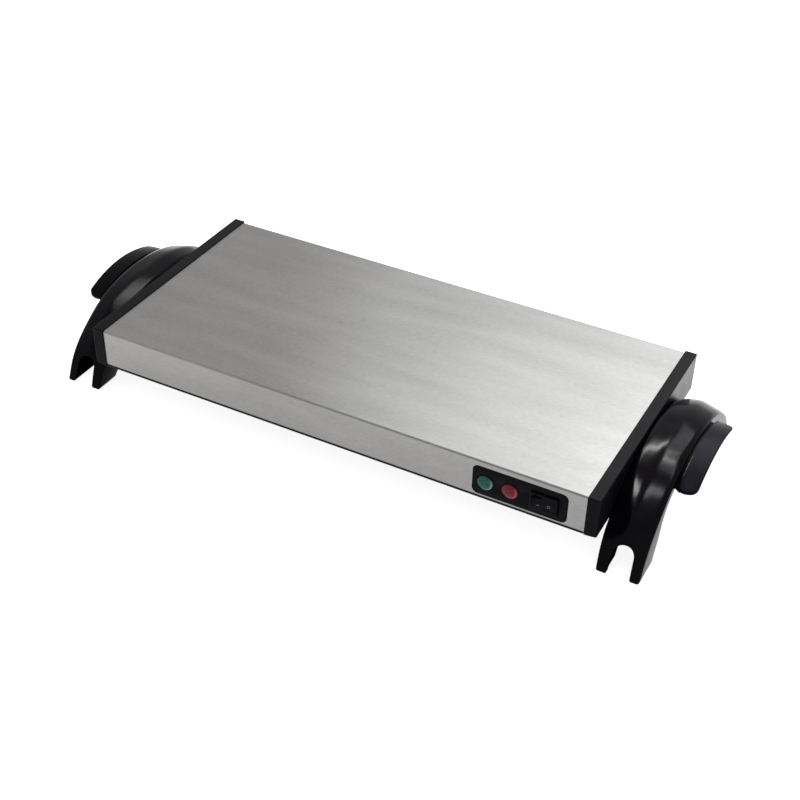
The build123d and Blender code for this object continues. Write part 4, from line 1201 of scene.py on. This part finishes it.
@dataclass
class Fittings:
    """Inlet, screws and the inner pieces, each dressed as what it is made of."""

    inlet_round: float = 0.3
    finishes: dict[str, Finish] = field(
        default_factory=lambda: {
            "inlet_pins": STAMPED_BRASS, "inlet_nuts": PLATED_SCREW, "inlet_screws": PLATED_SCREW,
            "bottom_screws": PLATED_SCREW, "handle_screws": PLATED_SCREW, "small_screws": PLATED_SCREW,
            "right_screw_plate": PLATED_SHEET, "left_screw_plate": PLATED_SHEET,
            "pressure_plate": PLATED_SHEET, "fuse_clip": PLATED_SHEET, "heater_studs": PLATED_SCREW,
            "heater_nuts": PLATED_SCREW, "heat_spreader": ROLLED_ALUMINIUM, "upper_mica": PRESSED_MICA,
            "lower_mica": PRESSED_MICA, "heater_core": PRESSED_MICA, "heater_ribbon": RESISTANCE_STRIP,
            "insulation_blanket": NEEDLED_FIBRE, "thermostat": PRESSED_PHENOLIC,
            "thermal_fuse": RESISTANCE_STRIP, "switch_contacts": STAMPED_BRASS,
            "green_lamp": LAMP_GLASS, "red_lamp": LAMP_GLASS, "terminal_block": GLAZED_PORCELAIN,
            "terminal_screws": STAMPED_BRASS, "earth_stud": PLATED_SCREW, "earth_nuts": PLATED_SCREW,
            "earth_tag": STAMPED_BRASS,
        }
    )

    def build(self) -> None:
        """Dress the CAD nodes, and copy the inlet with its small edge rounds."""
        dress(copy_of("power_inlet", "inlet_moulding", self.inlet_round), SATIN_ABS)
        for node, finish in self.finishes.items():
            dress(frame["nodes"][node], finish)
            LOG.info("%s: %s", node, finish.name)


@dataclass
class Studio:
    """Pale floor, soft lights and the camera at the photograph's angle."""

    # The camera was fitted to the tray's corners: its place in metres, and its angles in degrees
    camera_place: tuple[float, float, float] = (0.49529, -0.93829, 0.78831)
    azimuth: float = 27.414
    elevation: float = 36.429
    roll: float = 1.2996
    focal_pixels: float = 1401.48
    image_pixels: float = 800.0
    sensor_mm: float = 36.0
    # The world's light, the floor's size in metres, its colour and what makes it seen as white
    ambient: float = 0.5
    floor_size: float = 12.0
    floor_grey: float = 0.86
    floor_glow: float = 0.85
    # One soft panel behind the tray, in bands that brighten to the right, and a dim one above its right end:
    # left edge, right edge, middle's height, height, radiance
    panels: tuple[Row, ...] = (
        (-1.2, -0.8, 1.9, 1.6, 1.5),
        (-0.8, -0.4, 1.9, 1.6, 3.1),
        (-0.4, 1.0, 1.9, 1.6, 4.65),
        (-0.35, 0.9, 2.35, 0.8, 1.3),
    )
    panels_y: float = 1.68
    # The panels' light is a little cool
    panel_tint: tuple[float, float, float] = (0.976, 1.0, 1.02)
    # Small boxes for the handles alone: what they point at on the right, how far off they hang, and their
    # angles from the back towards +X and upwards
    handle_middle: tuple[float, float, float] = (0.27, -0.05, 0.06)
    box_distance: float = 1.5
    handle_boxes: dict[Side, tuple[Box, ...]] = field(
        default_factory=lambda: {
            Side.RIGHT: (
                (-102.0, 58.0, (0.36, 0.28), 85.0),
                (-38.0, 50.0, (0.56, 0.11), 80.0),
                (-17.0, 46.0, (0.3, 0.08), 80.0),
                (-55.0, 30.0, (0.3, 0.2), 40.0),
                (4.0, 46.0, (0.24, 0.6), 7.0),
                (8.0, 57.0, (0.1, 0.16), 36.0),
                (14.0, 63.0, (0.14, 0.12), 60.0),
                (24.0, 66.0, (0.3, 0.26), 9.0),
                (45.0, 64.0, (0.3, 0.2), 12.0),
                (128.0, 77.0, (0.4, 0.26), 34.0),
            ),
            Side.LEFT: (
                (-52.0, 65.0, (1.1, 0.9), 6.0),
                (-50.0, 65.0, (0.8, 0.6), 6.0),
                (-48.0, 65.0, (0.5, 0.3), 7.0),
            ),
        }
    )
    # One box low at the left draws a thin bright line along the right lip's inner edge
    lip_boxes: dict[Side, tuple[Box, ...]] = field(
        default_factory=lambda: {Side.RIGHT: ((-63.0, 36.0, (0.6, 0.4), 220.0),)}
    )

    def camera(self) -> None:
        """Place the camera."""
        az, el, roll = (math.radians(a) for a in (self.azimuth, self.elevation, self.roll))
        back = Vector((math.sin(az) * math.cos(el), -math.cos(az) * math.cos(el), math.sin(el)))
        level = (-back).cross(Vector((0, 0, 1))).normalized()
        over = level.cross(-back)
        right = math.cos(roll) * level + math.sin(roll) * over
        up = math.cos(roll) * over - math.sin(roll) * level
        data = bpy.data.cameras.new("camera")
        data.sensor_width = self.sensor_mm
        data.lens = self.focal_pixels / self.image_pixels * self.sensor_mm
        camera = bpy.data.objects.new("camera", data)
        bpy.context.scene.collection.objects.link(camera)
        rotation = Matrix((right, up, back)).transposed().to_4x4()
        camera.matrix_world = Matrix.Translation(self.camera_place) @ rotation
        bpy.context.scene.camera = camera

    def softbox(
        self, name: str, place: Sequence[float], target: Sequence[float], size: Point, radiance: float
    ) -> bpy.types.Object:
        """Hang a soft light.

        Args:
            name: The light's name.
            place: Where it hangs, in metres.
            target: What it points at.
            size: Its width and height, in metres.
            radiance: How bright its face is, where white is 1.

        Returns:
            The light.
        """
        data = bpy.data.lights.new(name, "AREA")
        data.shape = "RECTANGLE"
        data.size, data.size_y = size
        data.energy = radiance * math.pi * size[0] * size[1]
        light = bpy.data.objects.new(name, data)
        bpy.context.scene.collection.objects.link(light)
        light.location = place
        light.rotation_euler = (Vector(target) - Vector(place)).to_track_quat("-Z", "Y").to_euler()
        return light

    def seen_white(self, tree: Tree) -> Socket:
        """Tell what sees a surface from what it lights.

        Args:
            tree: The nodes of the world or of a material.

        Returns:
            A factor of 1 for the camera, reflections and glass, and 0 for the light on things.
        """
        path = add_node(tree, "ShaderNodeLightPath").outputs
        seen = path["Is Camera Ray"]
        for ray in ("Is Glossy Ray", "Is Transmission Ray"):
            either = add_node(tree, "ShaderNodeMath", {0: seen, 1: path[ray]}, operation="MAXIMUM")
            seen = either.outputs["Value"]
        return seen

    def world(self) -> None:
        """White where it is seen, a dimmer white as light."""
        world = bpy.data.worlds.new("studio")
        bpy.context.scene.world = world
        world.use_nodes = True
        tree = world.node_tree
        tree.nodes.clear()
        strength = add_node(
            tree, "ShaderNodeMix", {"Factor": self.seen_white(tree), MIX_A: self.ambient, MIX_B: 1.0}
        )
        white = add_node(tree, "ShaderNodeBackground", {"Strength": strength.outputs["Result"]})
        white.inputs["Color"].default_value = WHITE
        add_node(tree, "ShaderNodeOutputWorld", {"Surface": white.outputs["Background"]})

    def floor(self) -> None:
        """A pale floor that keeps a soft shadow and goes to white."""
        bpy.ops.object.select_all(action="DESELECT")
        bpy.ops.mesh.primitive_plane_add(size=self.floor_size)
        floor = bpy.context.object
        floor.name = "floor"
        material = bpy.data.materials.new("pale_floor")
        material.use_nodes = True
        tree = material.node_tree
        tree.nodes.clear()
        matt = add_node(tree, "ShaderNodeBsdfDiffuse", {"Color": (*(self.floor_grey,) * 3, 1)})
        glow = add_node(tree, "ShaderNodeEmission", {"Color": WHITE, "Strength": self.floor_glow})
        none = add_node(tree, "ShaderNodeEmission", {"Strength": 0.0})
        lift = add_node(
            tree, "ShaderNodeMixShader", {0: self.seen_white(tree), 1: none.outputs[0], 2: glow.outputs[0]}
        )
        both = add_node(tree, "ShaderNodeAddShader", {0: matt.outputs[0], 1: lift.outputs[0]})
        add_node(tree, "ShaderNodeOutputMaterial", {"Surface": both.outputs[0]})
        floor.data.materials.append(material)

    def piece_boxes(self, side: Side, part: str, boxes: Sequence[Box]) -> None:
        """Hang small boxes that light one piece of a handle alone.

        Args:
            side: The handle's side.
            part: The piece's name after its side.
            boxes: Each box's two angles, size and radiance.
        """
        lit = bpy.data.collections.new(f"{side.label}_{part}_alone")
        lit.objects.link(bpy.data.objects[f"{side.label}_{part}"])
        target = Vector((side.value * self.handle_middle[0], *self.handle_middle[1:]))
        for number, (azimuth, elevation, size, radiance) in enumerate(boxes):
            az, el = math.radians(azimuth), math.radians(elevation)
            towards = Vector((math.sin(az) * math.cos(el), math.cos(az) * math.cos(el), math.sin(el)))
            place, name = target + towards * self.box_distance, f"{side.label}_{part}_box_{number}"
            box = self.softbox(name, place, target, size, radiance)
            box.light_linking.receiver_collection = lit

    def build(self) -> None:
        """Set up the camera, the world, the floor and the lights."""
        bpy.context.scene.view_settings.view_transform = "Standard"
        self.camera()
        self.world()
        self.floor()
        others = bpy.data.collections.new("all_but_handles")
        for piece in bpy.data.objects:
            if piece.type == "MESH" and not piece.name.endswith("handle_skin"):
                others.objects.link(piece)
        for number, (left, right, up, height, radiance) in enumerate(self.panels):
            middle, width = (left + right) / 2, right - left
            place, target = (middle, self.panels_y, up), (middle, 0, 0)
            panel = self.softbox(f"back_panel_{number}", place, target, (width, height), radiance)
            panel.data.color = self.panel_tint
            panel.light_linking.receiver_collection = others
        for part, table in (("handle_skin", self.handle_boxes), ("grip_lip", self.lip_boxes)):
            for side, boxes in table.items():
                self.piece_boxes(side, part, boxes)


def main() -> None:
    """Build and dress every piece."""
    logging.basicConfig(level=logging.INFO, format="%(name)s %(message)s")
    Body().build()
    for side in Side:
        Handle(side).build()
    ControlPanel().build()
    Fittings().build()
    Studio().build()


if __name__ == "__main__":
    main()
